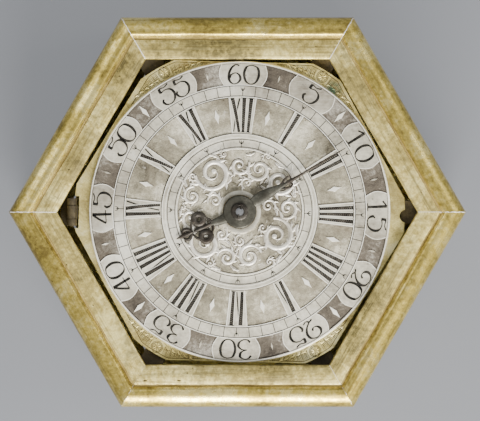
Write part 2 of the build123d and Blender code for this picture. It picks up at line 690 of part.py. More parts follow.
S_CW = 14.6   # back of the crown wheel's web
with BuildPart() as cra:
    with BuildSketch(cplane(5.6)):
        Circle(0.42)
    extrude(amount=1.5)
    with BuildSketch(cplane(7.1)):
        Circle(0.75)
    extrude(amount=S_CW + 1.0 - 7.1)
    # pinion of 8 leaves: a leaf points up into the gap of the contrate wheel
    with BuildSketch(cplane(9.1)) as sk:
        up = 90.0 if cplane(0).y_dir.Z > 0 else -90.0
        outline(gear_pts(8, 0.42, up, add=0.6, ded=1.0, thin=0.34))
    extrude(amount=2.0)
mexport(cra.part, "crown_arbor")
CR = 5.0
with BuildPart() as crw:
    with BuildSketch(cplane(S_CW)):
        Circle(CR)
        for k in range(3):
            with Locations(Location((2.75 * math.cos(math.radians(120 * k + 30)), 2.75 * math.sin(math.radians(120 * k + 30)), 0))):
                Circle(1.15, mode=Mode.SUBTRACT)
        Circle(0.77, mode=Mode.SUBTRACT)
    extrude(amount=0.7)
    with BuildSketch(cplane(S_CW + 0.7)):
        Circle(CR)
        Circle(CR - 0.5, mode=Mode.SUBTRACT)
    extrude(amount=0.9)
    # fifteen saw teeth on the rim, pointing at the verge
    for k in range(15):
        a = 24.0 * k + 12.0
        p0 = cplane(S_CW + 1.6)
        with BuildSketch(cplane(S_CW + 1.55)):
            with BuildLine():
                q = [(r * math.cos(math.radians(a + d)), r * math.sin(math.radians(a + d)))
                     for r, d in ((CR - 0.5, 0), (CR - 0.02, 0), (CR - 0.02, 5.0), (CR - 0.02, 10.0), (CR - 0.5, 10.0))]
                Polyline(*q, close=True)
            make_face()
        extrude(amount=0.9)
        with BuildSketch(cplane(S_CW + 2.4)):
            with BuildLine():
                q = [(r * math.cos(math.radians(a + d)), r * math.sin(math.radians(a + d)))
                     for r, d in ((CR - 0.5, 0), (CR - 0.02, 0), (CR - 0.02, 4.0), (CR - 0.5, 4.0))]
                Polyline(*q, close=True)
            make_face()
        extrude(amount=0.6)
mexport(crw.part, "crown_wheel")

# potences that carry the crown arbor, standing on the back plate
pots = []
for s0, s1, r in ((12.2, 13.9, 0.85), (5.7, 6.9, 0.52)):
    with BuildPart() as pt:
        with BuildSketch(cplane(s0)):
            yy = 1 if cplane(0).y_dir.Z > 0 else -1
            with Locations((0, -(CROWN_Z - BP1 - 2.2) / 2 * yy - 0.0)):
                Rectangle(3.0 if s0 > 10 else 2.4, CROWN_Z - BP1 + 2.2)
            Circle(r, mode=Mode.SUBTRACT)
        extrude(amount=s1 - s0)
        # trim anything above or below the plate face
        with BuildSketch(Plane.XY.offset(BP1)):
            with Locations(K):
                Circle(40)
        extrude(amount=10, mode=Mode.INTERSECT)
    pots.append(pt.part.solids()[0])
mexport(Compound(children=pots), "crown_potences")

# verge with two flags, and the balance on its lower end
BAL_Z = 36.4
with BuildPart() as vg:
    add(shaft([(0.42, 32.9, 34.6), (0.9, 34.6, 56.4), (0.42, 56.4, 58.2)], V))
    for zc, ang in ((CROWN_Z + 4.75, VB + 180 + 50), (CROWN_Z - 4.75, VB + 180 - 50)):
        a = math.radians(ang)
        with BuildSketch(Plane.XY.offset(zc - 0.8)):
            with Locations(Location((V[0] + 0.9 * math.cos(a), V[1] + 0.9 * math.sin(a), 0), (0, 0, ang))):
                Rectangle(1.8, 0.6)
        extrude(amount=1.6)
mexport(vg.part, "verge")
with BuildPart() as bw:
    with BuildSketch(Plane.XY.offset(BAL_Z)):
        with Locations(V):
            Circle(12.4)
            Circle(10.8, mode=Mode.SUBTRACT)
            Circle(2.2)
        for k in range(3):
            with Locations(Location((V[0] + 6.4 * math.cos(math.radians(120 * k + 20)),
                                     V[1] + 6.4 * math.sin(math.radians(120 * k + 20)), 0), (0, 0, 120 * k + 20))):
                Rectangle(10.2, 1.3)
        with Locations(V):
            Circle(0.9, mode=Mode.SUBTRACT)
    extrude(amount=1.0)
mexport(bw.part, "balance_wheel")

# balance spring: a flat spiral between the balance and the back plate
with BuildPart() as bs:
    turns, r1, r2 = 3.0, 1.9, 7.6
    inn, out = [], []
    nn = 72
    for j in range(nn + 1):
        a = 2 * math.pi * turns * j / nn
        r = r1 + (r2 - r1) * j / nn
        inn.append((V[0] + (r - 0.09) * math.cos(a), V[1] + (r - 0.09) * math.sin(a)))
        out.append((V[0] + (r + 0.09) * math.cos(a), V[1] + (r + 0.09) * math.sin(a)))
    with BuildSketch(Plane.XY.offset(38.3)):
        with BuildLine():
            Polyline(*(inn + out[::-1]), close=True)
        make_face()
    extrude(amount=0.6)
with BuildPart() as bst:
    with BuildSketch(Plane.XY.offset(38.1)):
        with Locations((V[0] + 8.6, V[1])):
            Rectangle(1.8, 1.6)
    extrude(amount=BP0 - 38.1)
mexport(Compound(children=[bs.part.solids()[0], bst.part.solids()[0]]), "balance_spring")

# balance cock: table under the balance, foot on the back plate at the far right
CK = (V[0] + 15.8, V[1] + 1.0)
with BuildPart() as ck:
    with BuildSketch(Plane.XY.offset(33.2)):
        with Locations(V):
            Circle(5.4)
        with BuildLine():
            Polyline((V[0], V[1] - 4.0), (CK[0] + 2.2, CK[1] - 3.4), (CK[0] + 2.2, CK[1] + 3.4), (V[0], V[1] + 4.0), close=True)
        make_face()
        with Locations(V):
            Circle(0.52, mode=Mode.SUBTRACT)
            with PolarLocations(3.2, 6):
                Circle(0.8, mode=Mode.SUBTRACT)
    extrude(amount=1.3)
    with BuildSketch(Plane.XY.offset(33.2)):
        with Locations((CK[0] + 0.0, CK[1])):
            Rectangle(4.4, 6.8)
        with Locations((CK[0] + 0.6, CK[1])):
            Circle(1.0, mode=Mode.SUBTRACT)
    extrude(amount=BP0 - 33.2)
    with BuildSketch(Plane.XY.offset(33.0)):
        with Locations((CK[0] + 0.6, CK[1])):
            Circle(1.0)
    extrude(amount=2.0, mode=Mode.SUBTRACT)
mexport(ck.part, "balance_cock")
with BuildPart() as cks:
    with BuildSketch(Plane.XY.offset(32.0)):
        with Locations((CK[0] + 0.6, CK[1])):
            Circle(1.8)
    extrude(amount=1.2)
    with BuildSketch(Plane.XY.offset(33.2)):
        with Locations((CK[0] + 0.6, CK[1])):
            Circle(0.95)
    extrude(amount=BP0 - 33.2)
mexport(cks.part, "balance_cock_screw")
# upper bearing of the verge: a bracket hanging from the front plate
with BuildPart() as vb:
    with BuildSketch(Plane.XY.offset(56.8)):
        with Locations((V[0] + 2.2, V[1])):
            Rectangle(7.4, 3.4)
        with Locations(V):
            Circle(0.52, mode=Mode.SUBTRACT)
    extrude(amount=1.2)
    with BuildSketch(Plane.XY.offset(56.8)):
        with Locations((V[0] + 5.2, V[1])):
            Rectangle(1.8, 3.4)
    extrude(amount=FP0 - 56.8)
mexport(vb.part, "verge_bracket")

# ---------------- fusee, barrel and chain ----------------
fz = 46.4
cone = [(2.2, fz - 0.6), (8.6, fz - 0.6), (8.6, fz)]
nz = 8
for k in range(nz):
    z = fz + k * 1.55
    r = 8.4 - 0.52 * k
    cone += [(r, z + 0.05), (r - 0.45, z + 0.35), (r - 0.45, z + 1.1), (r - 0.1, z + 1.4)]
cone += [(4.2, fz + nz * 1.55), (4.2, fz + nz * 1.55 + 0.6), (1.2, fz + nz * 1.55 + 0.6), (1.2, fz - 0.6 + 0.0)]
with BuildPart() as fu:
    with BuildSketch(Plane(origin=(F[0], F[1], 0), x_dir=(1, 0, 0), z_dir=(0, -1, 0))):
        with BuildLine():
            Polyline(*([(1.2, fz - 0.6)] + cone[0:-1]), close=True)
        make_face()
    revolve(axis=Axis((F[0], F[1], 0), (0, 0, 1)))
mexport(fu.part, "fusee")
with BuildPart() as fa:
    add(shaft([(1.7, 38.0, 44.2), (2.2, 44.2, fz - 0.6), (1.2, fz - 0.6, FP0 - 0.4), (0.52, FP0 - 0.4, FP1 - 0.2)], F))
    with BuildSketch(Plane.XY.offset(34.4)):
        with Locations(F):
            Rectangle(2.3, 2.3)
    extrude(amount=3.8)
mexport(fa.part, "fusee_arbor")

BR = 10.6
with BuildPart() as br:
    with BuildSketch(Plane.XY.offset(45.2)):
        with Locations(B):
            Circle(BR)
            Circle(1.6, mode=Mode.SUBTRACT)
    extrude(amount=1.0)
    with BuildSketch(Plane.XY.offset(46.2)):
        with Locations(B):
            Circle(BR)
            Circle(BR - 0.9, mode=Mode.SUBTRACT)
    extrude(amount=12.6)
with BuildPart() as bc:
    with BuildSketch(Plane.XY.offset(57.8)):
        with Locations(B):
            Circle(BR - 0.9)
            Circle(1.6, mode=Mode.SUBTRACT)
    extrude(amount=1.0)
mexport(Compound(children=[br.part.solids()[0], bc.part.solids()[0]]), "mainspring_barrel")
with BuildPart() as ms:
    inn, out = [], []
    nn = 150
    turns = 6.0
    for j in range(nn + 1):
        a = 2 * math.pi * turns * j / nn
        r = 2.2 + (9.1 - 2.2) * j / nn
        inn.append((B[0] + (r - 0.15) * math.cos(a), B[1] + (r - 0.15) * math.sin(a)))
        out.append((B[0] + (r + 0.15) * math.cos(a), B[1] + (r + 0.15) * math.sin(a)))
    with BuildSketch(Plane.XY.offset(46.8)):
        with BuildLine():
            Polyline(*(inn + out[::-1]), close=True)
        make_face()
    extrude(amount=10.4)
mexport(ms.part, "mainspring")

# chain turns on the barrel and the free run across to the fusee
chz = fz + 2 * 1.55 + 0.725
ch = []
for k in range(5):
    with BuildPart() as c1:
        with BuildSketch(Plane.XY.offset(chz - 0.3 + 1.5 * k)):
            with Locations(B):
                Circle(BR + 0.9)
                Circle(BR, mode=Mode.SUBTRACT)
        extrude(amount=0.7)
    ch.append(c1.part.solids()[0])
mexport(Compound(children=ch), "chain_on_barrel")
dx, dy = B[0] - F[0], B[1] - F[1]
D = math.hypot(dx, dy)
rf_ = 8.4 - 0.52 * 2 + 0.55
rb_ = BR + 0.55
# outer tangent on the lower side
th = math.atan2(dy, dx)
al = math.asin((rb_ - rf_) / D)
na = th - math.pi / 2 - al
fp = (F[0] + rf_ * math.cos(na), F[1] + rf_ * math.sin(na))
bp = (B[0] + (rb_ + 0.5) * math.cos(na), B[1] + (rb_ + 0.5) * math.sin(na))
rl = math.hypot(bp[0] - fp[0], bp[1] - fp[1])
ang = math.degrees(math.atan2(bp[1] - fp[1], bp[0] - fp[0]))
with BuildPart() as cr:
    with BuildSketch(Plane.XY.offset(chz - 0.3)):
        with Locations(Location(((fp[0] + bp[0]) / 2 + 0.35 * math.cos(na), (fp[1] + bp[1]) / 2 + 0.35 * math.sin(na), 0), (0, 0, ang))):
            Rectangle(rl - 1.0, 0.7)
    extrude(amount=0.7)
mexport(cr.part, "chain_run")

# set-up ratchet on the barrel arbor, with its click
rt = []
for k in range(20):
    a = 18.0 * k
    rt += [(4.6 * math.cos(math.radians(a)), 4.6 * math.sin(math.radians(a))),
           (3.9 * math.cos(math.radians(a + 2)), 3.9 * math.sin(math.radians(a + 2)))]
with BuildPart() as rw:
    with BuildSketch(Plane.XY.offset(38.5)):
        outline(rt, B)
    extrude(amount=1.2)
    add(shaft([(1.7, 38.2, BP1 + 0.8), (1.5, BP1 + 0.8, 60.2), (1.2, 60.2, FP1 - 0.4)], B))
mexport(rw.part, "barrel_arbor")

# ---------------- motion work and hands ----------------
MS = 0.45
MWC = (0.0, 10.8)    # minute wheel stud
ph_can = 0.0
# cannon pinion 12, minute wheel 36; minute pinion 10, hour wheel 40 at the same distance
M_B = 10.8 * 2 / 50.0
ph_mw = mesh_phase((0, 0), MWC, 36, ph_can, 12)
with BuildPart() as can:
    with BuildSketch(Plane.XY.offset(67.3)):
        outline(gear_pts(12, MS, ph_can, add=0.8, ded=1.1, thin=BACK))
        cut_outline(ngon(1.32))
    extrude(amount=1.4)
    with BuildSketch(Plane.XY.offset(68.7)):
        Circle(1.9)
        Circle(1.26, mode=Mode.SUBTRACT)
    extrude(amount=76.9 - 68.7)
mexport(can.part, "cannon_pinion")
with BuildPart() as mw:
    with BuildSketch(Plane.XY.offset(67.5)):
        outline(gear_pts(36, MS, ph_mw, add=0.8, thin=BACK, steps=3), MWC)
        cut_outline(ngon(0.9), MWC)
    extrude(amount=0.8)
    ph_mp = 0.0
    with BuildSketch(Plane.XY.offset(68.3)):
        outline(gear_pts(10, M_B, ph_mp, add=0.8, ded=1.1, thin=BACK), MWC)
        cut_outline(ngon(0.9), MWC)
    extrude(amount=2.2)
mexport(mw.part, "minute_wheel")
mexport(shaft([(1.6, FP1, FP1 + 0.35), (0.8, FP1 + 0.35, 71.4)], MWC), "minute_wheel_stud")
ph_hw = mesh_phase(MWC, (0, 0), 40, ph_mp, 10)
with BuildPart() as hw:
    with BuildSketch(Plane.XY.offset(69.2)):
        outline(gear_pts(40, M_B, ph_hw, add=0.8, thin=BACK, steps=3))
        cut_outline(ngon(2.06))
    extrude(amount=1.0)
    with BuildSketch(Plane.XY.offset(70.2)):
        Circle(3.0)
        Circle(2.0, mode=Mode.SUBTRACT)
    extrude(amount=75.9 - 70.2)
mexport(hw.part, "hour_wheel")

# hands: the hour hand points to 246.7 degrees clockwise of up, the minute hand to 58.9, seen from above, in case axes;
# they are drawn in the movement's axes, which are turned by MROT
HA = 90 - 246.7 - MROT
MA = 90 - 58.9 - MROT


def rot(pts, a):
    c, s = math.cos(math.radians(a)), math.sin(math.radians(a))
    return [(x * c - y * s, x * s + y * c) for x, y in pts]


with BuildPart() as hh:
    with BuildSketch(Plane.XY.offset(75.1)):
        outline(rot([(3.4, -1.1), (8, -0.9), (9.4, -3.0), (12.6, -4.6), (15.6, -3.4), (16.4, -1.0), (18.4, -1.6), (21.2, 0),
                     (18.4, 1.6), (16.4, 1.0), (15.6, 3.4), (12.6, 4.6), (9.4, 3.0), (8, 0.9), (3.4, 1.1)], HA))
        Circle(4.9)
        Circle(3.0, mode=Mode.SUBTRACT)
        for q in rot([(12.4, 2.6), (12.4, -2.6)], HA):
            with Locations(q):
                Circle(1.1, mode=Mode.SUBTRACT)
    extrude(amount=0.7)
mexport(hh.part, "hour_hand")
with BuildPart() as mh:
    with BuildSketch(Plane.XY.offset(76.2)):
        outline(rot([(3.0, -1.4), (8, -1.9), (13, -1.3), (17.0, -0.9), (18.4, -1.6), (19.6, -0.7), (29, -0.45), (37.8, -0.12),
                     (37.8, 0.12), (29, 0.45), (19.6, 0.7), (18.4, 1.6), (17.0, 0.9), (13, 1.3), (8, 1.9), (3.0, 1.4)], MA))
        Circle(5.0)
        Circle(1.9, mode=Mode.SUBTRACT)
    extrude(amount=0.7)
mexport(mh.part, "minute_hand")
with BuildPart() as col:
    with BuildSketch(Plane.XY.offset(76.95)):
        Circle(2.6)
        Circle(1.26, mode=Mode.SUBTRACT)
    extrude(amount=0.5)
mexport(col.part, "hand_collet")

# ---------------- hammer ----------------
P = (-1.5, 34.2)
with BuildPart() as hm:
    add(shaft([(1.0, 34.6, BP1 + 0.3), (1.0, BP1 + 0.3, FP0 - 0.3), (0.52, FP0 - 0.3, FP1 - 0.2)], H))
    with BuildSketch(Plane.XY.offset(33.4)):
        a = math.degrees(math.atan2(P[1] - H[1], P[0] - H[0]))
        L = math.hypot(P[0] - H[0], P[1] - H[1])
        with Locations(Location(((P[0] + H[0]) / 2, (P[1] + H[1]) / 2, 0), (0, 0, a))):
            Rectangle(L, 2.0)
        with Locations(H):
            Circle(2.4)
        with Locations(P):
            Circle(2.0)
    extrude(amount=1.4)
    with BuildSketch(Plane.XY.offset(26.8)):
        with Locations(P):
            Circle(2.0)
    extrude(amount=8.0)
    # tail toward the lifting cam on the centre arbor
    with BuildSketch(Plane.XY.offset(47.6)):
        tt = math.degrees(math.atan2(-H[1], -H[0]))
        with Locations(Location((H[0] * 0.62, H[1] * 0.62, 0), (0, 0, tt))):
            Rectangle(21.4, 1.4)
        with Locations(H):
            Circle(2.0)
    extrude(amount=1.2)
mexport(hm.part, "bell_hammer")
with BuildPart() as cam:
    with BuildSketch(Plane.XY.offset(47.4)):
        outline(ngon(2.2, 16))
        outline(rot([(0, -0.7), (4.6, -0.5), (4.6, 0.5), (0, 0.7)], 40))
        Circle(1.2, mode=Mode.SUBTRACT)
    extrude(amount=1.6)
with BuildPart() as ca2:
    add(ca_part)
    add(cam.part)
mexport(ca2.part, "centre_arbor")
with BuildPart() as hs:
    with BuildSketch(Plane.XY.offset(36.2)):
        with Locations((-30.0, 14.0)):
            Rectangle(4.0, 4.0)
    extrude(amount=BP0 - 36.2)
    with BuildSketch(Plane.XY.offset(36.4)):
        with BuildLine():
            Polyline((-28.2, 13.6), (-18.6, 22.9), (-18.9, 23.3), (-28.6, 14.2), close=True)
        make_face()
    extrude(amount=2.0)
mexport(hs.part, "hammer_spring")

print("V", V, "CK", CK)
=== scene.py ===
import json
import math
import random

import bpy
import numpy as np
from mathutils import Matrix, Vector


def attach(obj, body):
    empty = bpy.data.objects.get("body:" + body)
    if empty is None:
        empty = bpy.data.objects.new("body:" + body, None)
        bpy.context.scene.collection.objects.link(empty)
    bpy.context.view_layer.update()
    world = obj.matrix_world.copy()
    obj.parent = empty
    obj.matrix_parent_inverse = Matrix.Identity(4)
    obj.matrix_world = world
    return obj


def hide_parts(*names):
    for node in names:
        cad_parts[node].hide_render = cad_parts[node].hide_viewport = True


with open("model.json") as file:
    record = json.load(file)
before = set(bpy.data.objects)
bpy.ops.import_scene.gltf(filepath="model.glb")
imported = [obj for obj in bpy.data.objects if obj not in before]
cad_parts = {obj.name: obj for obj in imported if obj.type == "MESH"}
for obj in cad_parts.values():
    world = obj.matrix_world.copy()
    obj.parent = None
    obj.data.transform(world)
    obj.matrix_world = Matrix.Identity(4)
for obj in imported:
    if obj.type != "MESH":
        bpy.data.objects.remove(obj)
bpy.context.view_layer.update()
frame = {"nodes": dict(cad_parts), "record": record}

random.seed(7)
MM = 0.001
MX, MY, MROT = 0.7, 0.1, math.radians(-1.5)
AP_TOP, AP_SIDE = 59.62, 60.62


# ------------------------------------------------------------------ mesh helpers
def T(x, y):
    """From the dial's own axes to the case's axes, millimetres."""
    return (x * math.cos(MROT) - y * math.sin(MROT) + MX, x * math.sin(MROT) + y * math.cos(MROT) + MY)


def make(name, verts, faces, mats, idx=None, smooth=True, uv=None):
    me = bpy.data.meshes.new(name)
    me.from_pydata([(v[0] * MM, v[1] * MM, v[2] * MM) for v in verts], [], faces)
    for m in mats if isinstance(mats, (list, tuple)) else [mats]:
        me.materials.append(m)
    if idx is not None:
        me.polygons.foreach_set("material_index", idx)
    me.polygons.foreach_set("use_smooth", [smooth] * len(me.polygons))
    if uv is not None:
        lay = me.uv_layers.new(name="lay")
        loops = np.zeros(len(me.loops), dtype=np.int32)
        me.loops.foreach_get("vertex_index", loops)
        arr = np.asarray(uv, dtype=np.float32)[loops]
        lay.data.foreach_set("uv", arr.ravel())
    me.update()
    ob = bpy.data.objects.new(name, me)
    bpy.context.collection.objects.link(ob)
    return ob


def recalc(ob):
    import bmesh
    bm = bmesh.new()
    bm.from_mesh(ob.data)
    bmesh.ops.recalc_face_normals(bm, faces=bm.faces)
    bm.to_mesh(ob.data)
    bm.free()
    return ob


def sharp(ob, deg=35):
    """Smooth shading with edges over the angle kept crisp."""
    me = ob.data
    import bmesh
    bm = bmesh.new()
    bm.from_mesh(me)
    lim = math.radians(deg)
    for e in bm.edges:
        if len(e.link_faces) == 2 and e.calc_face_angle(0.0) > lim:
            e.smooth = False
    bm.to_mesh(me)
    bm.free()
    return ob


class Geo:
    """Collects vertices and faces of many small shapes into one piece."""

    def __init__(self, warp=None):
        self.v, self.f, self.m = [], [], []
        self.warp = warp or (lambda x, y: T(x, y))

    def add(self, verts, faces, mi=0):
        n = len(self.v)
        for x, y, z in verts:
            a, b = self.warp(x, y)
            self.v.append((a, b, z))
        for f in faces:
            self.f.append(tuple(n + i for i in f))
            self.m.append(mi)

    def ribbon(self, pts, ws, z0, h, round_=False, mi=0, cap=True):
        """A stroke along pts with half-widths ws; round_ gives a rounded relief section."""
        n = len(pts)
        if round_:
            sec = [(-1.0, 0.0), (-0.78, 0.55), (-0.35, 0.92), (0.0, 1.0), (0.35, 0.92), (0.78, 0.55), (1.0, 0.0)]
        else:
            sec = [(-1.0, 0.0), (-1.0, 1.0), (1.0, 1.0), (1.0, 0.0)]
        k = len(sec)
        verts, faces = [], []
        for i in range(n):
            p0, p1 = pts[max(0, i - 1)], pts[min(n - 1, i + 1)]
            dx, dy = p1[0] - p0[0], p1[1] - p0[1]
            d = math.hypot(dx, dy) or 1e-9
            nx, ny = -dy / d, dx / d
            w = ws[i] if isinstance(ws, (list, tuple)) else ws
            hh = h[i] if isinstance(h, (list, tuple)) else h
            for a, b in sec:
                verts.append((pts[i][0] + nx * w * a, pts[i][1] + ny * w * a, z0 + hh * b))
        for i in range(n - 1):
            for j in range(k - 1):
                a = i * k + j
                faces.append((a, a + 1, a + k + 1, a + k))
            faces.append((i * k + k - 1, i * k, i * k + k, i * k + 2 * k - 1))
        if cap:
            faces.append(tuple(reversed(range(k))))
            faces.append(tuple((n - 1) * k + j for j in range(k)))
        self.add(verts, faces, mi)

    def prism(self, loop, z0, z1, inset=0.0, mi=0, top_mi=None):
        """A convex or star-shaped outline raised from z0 to z1, with a bevelled top edge."""
        n = len(loop)
        cx, cy = sum(p[0] for p in loop) / n, sum(p[1] for p in loop) / n
        verts, faces = [], []
        for x, y in loop:
            verts.append((x, y, z0))
        for x, y in loop:
            verts.append((x, y, z1 - inset))
        for x, y in loop:
            d = math.hypot(x - cx, y - cy) or 1
            f = max(0.0, 1 - inset / d)
            verts.append((cx + (x - cx) * f, cy + (y - cy) * f, z1))
        verts.append((cx, cy, z1))
        verts.append((cx, cy, z0))
        for i in range(n):
            j = (i + 1) % n
            faces.append((i, j, n + j, n + i))
            faces.append((n + i, n + j, 2 * n + j, 2 * n + i))
            faces.append((2 * n + i, 2 * n + j, 3 * n))
            faces.append((j, i, 3 * n + 1))
        self.add(verts, faces, mi)

    def patch(self, t0, t1, r0, r1, z0, z1, n=12, bulge=0.0, mi=0, inset=0.05, conv=0.0):
        """A plaque in polar form: angles in degrees anticlockwise from +X; bulge rounds its sides outward."""
        loop = []
        m = 8
        for i in range(n + 1):
            a = math.radians(t0 + (t1 - t0) * i / n)
            loop.append((r0 * math.cos(a), r0 * math.sin(a)))
        for i in range(1, m):
            u = i / m
            a = math.radians(t1 + bulge * math.sin(math.pi * u))
            r = r0 + (r1 - r0) * u
            loop.append((r * math.cos(a), r * math.sin(a)))
        for i in range(n + 1):
            a = math.radians(t1 + (t0 - t1) * i / n)
            loop.append((r1 * math.cos(a), r1 * math.sin(a)))
        for i in range(1, m):
            u = i / m
            a = math.radians(t0 - bulge * math.sin(math.pi * u))
            r = r1 + (r0 - r1) * u
            loop.append((r * math.cos(a), r * math.sin(a)))
        self.prism(loop, z0, z1, inset, mi)

    def out(self, name, mats, sh=35):
        ob = make(name, self.v, self.f, mats, self.m)
        recalc(ob)
        return sharp(ob, sh)


def lathe(name, prof, mats, idx, centre=(0, 0), seg=192, warp=T, close=True):
    """Turned piece: prof is (r, z) from the axis outward and back; idx is a material per profile run."""
    v, f, m = [], [], []
    n = len(prof)
    for s in range(seg):
        a = 2 * math.pi * s / seg
        for r, z in prof:
            x, y = warp(centre[0] + r * math.cos(a), centre[1] + r * math.sin(a))
            v.append((x, y, z))
    for s in range(seg):
        t = (s + 1) % seg
        for j in range(n if close else n - 1):
            k = (j + 1) % n
            f.append((s * n + j, t * n + j, t * n + k, s * n + k))
            m.append(idx[j] if idx else 0)
    ob = make(name, v, f, mats, m)
    recalc(ob)
    return sharp(ob, 30)


def spline(ctrl, n=8, closed=False):
    """Catmull-Rom through the control points."""
    P = [tuple(p) for p in ctrl]
    out = []
    N = len(P)
    rng = range(N if closed else N - 1)
    for i in rng:
        if closed:
            p0, p1, p2, p3 = P[(i - 1) % N], P[i], P[(i + 1) % N], P[(i + 2) % N]
        else:
            p0, p1, p2, p3 = P[max(0, i - 1)], P[i], P[i + 1], P[min(N - 1, i + 2)]
        for k in range(n):
            t = k / n
            out.append(tuple(0.5 * ((2 * p1[c]) + (-p0[c] + p2[c]) * t + (2 * p0[c] - 5 * p1[c] + 4 * p2[c] - p3[c]) * t * t
                                    + (-p0[c] + 3 * p1[c] - 3 * p2[c] + p3[c]) * t ** 3) for c in range(len(p1))))
    if not closed:
        out.append(P[-1])
    return out


# ------------------------------------------------------------------ materials
class NT:
    def __init__(self, name):
        self.mat = bpy.data.materials.new(name)
        self.mat.use_nodes = True
        self.nt = self.mat.node_tree
        self.nt.nodes.clear()
        self.out = self.nt.nodes.new("ShaderNodeOutputMaterial")
        self.bsdf = self.nt.nodes.new("ShaderNodeBsdfPrincipled")
        self.nt.links.new(self.bsdf.outputs[0], self.out.inputs[0])
        self.tc = self.nt.nodes.new("ShaderNodeTexCoord")
        self.co = self.tc.outputs["Object"]

    def n(self, kind, **kw):
        nd = self.nt.nodes.new(kind)
        for k, v in kw.items():
            if k in nd.inputs:
                nd.inputs[k].default_value = v
            else:
                setattr(nd, k, v)
        return nd

    def link(self, a, b):
        self.nt.links.new(a, b)

    def mapping(self, src, scale=(1, 1, 1), rot=(0, 0, 0)):
        m = self.n("ShaderNodeMapping")
        m.inputs["Scale"].default_value = scale
        m.inputs["Rotation"].default_value = rot
        self.link(src, m.inputs["Vector"])
        return m.outputs[0]

    def noise(self, src, scale, detail=4.0, rough=0.55, dist=0.0):
        nd = self.n("ShaderNodeTexNoise")
        nd.inputs["Scale"].default_value = scale
        nd.inputs["Detail"].default_value = detail
        nd.inputs["Roughness"].default_value = rough
        nd.inputs["Distortion"].default_value = dist
        self.link(src, nd.inputs["Vector"])
        return nd.outputs[0]

    def ramp(self, fac, stops):
        r = self.n("ShaderNodeValToRGB")
        el = r.color_ramp.elements
        el[0].position, el[0].color = stops[0][0], (*stops[0][1], 1)
        el[1].position, el[1].color = stops[-1][0], (*stops[-1][1], 1)
        for p, c in stops[1:-1]:
            e = el.new(p)
            e.color = (*c, 1)
        self.link(fac, r.inputs[0])
        return r.outputs[0]

    def val(self, fac, a, b, lo=0.3, hi=0.7):
        m = self.n("ShaderNodeMapRange")
        m.inputs["From Min"].default_value = lo
        m.inputs["From Max"].default_value = hi
        m.inputs["To Min"].default_value = a
        m.inputs["To Max"].default_value = b
        self.link(fac, m.inputs["Value"])
        return m.outputs[0]

    def mix(self, fac, a, b, mode="MIX"):
        m = self.n("ShaderNodeMix")
        m.data_type = "RGBA"
        m.blend_type = mode
        for s, v in ((m.inputs["Factor"], fac), (m.inputs["A"], a), (m.inputs["B"], b)):
            pass
        fi = m.inputs[0]
        ai, bi = m.inputs[6], m.inputs[7]
        for s, v in ((fi, fac), (ai, a), (bi, b)):
            if isinstance(v, (int, float)):
                s.default_value = v
            elif isinstance(v, tuple):
                s.default_value = (*v, 1)
            else:
                self.link(v, s)
        return m.outputs[2]

    def math(self, op, a, b=0.0):
        m = self.n("ShaderNodeMath")
        m.operation = op
        for s, v in ((m.inputs[0], a), (m.inputs[1], b)):
            if isinstance(v, (int, float)):
                s.default_value = v
            else:
                self.link(v, s)
        return m.outputs[0]

    def bump(self, h, strength, dist=0.0002, prev=None):
        b = self.n("ShaderNodeBump")
        b.inputs["Strength"].default_value = strength
        b.inputs["Distance"].default_value = dist
        self.link(h, b.inputs["Height"])
        if prev is not None:
            self.link(prev, b.inputs["Normal"])
        return b.outputs[0]

    def set(self, col=None, rough=None, metal=None, normal=None, **kw):
        for k, v in (("Base Color", col), ("Roughness", rough), ("Metallic", metal), ("Normal", normal)):
            if v is None:
                continue
            s = self.bsdf.inputs[k]
            if isinstance(v, (int, float)):
                s.default_value = v
            elif isinstance(v, tuple):
                s.default_value = (*v, 1)
            else:
                self.link(v, s)
        for k, v in kw.items():
            self.bsdf.inputs[k.replace("_", " ")].default_value = v
        return self.mat


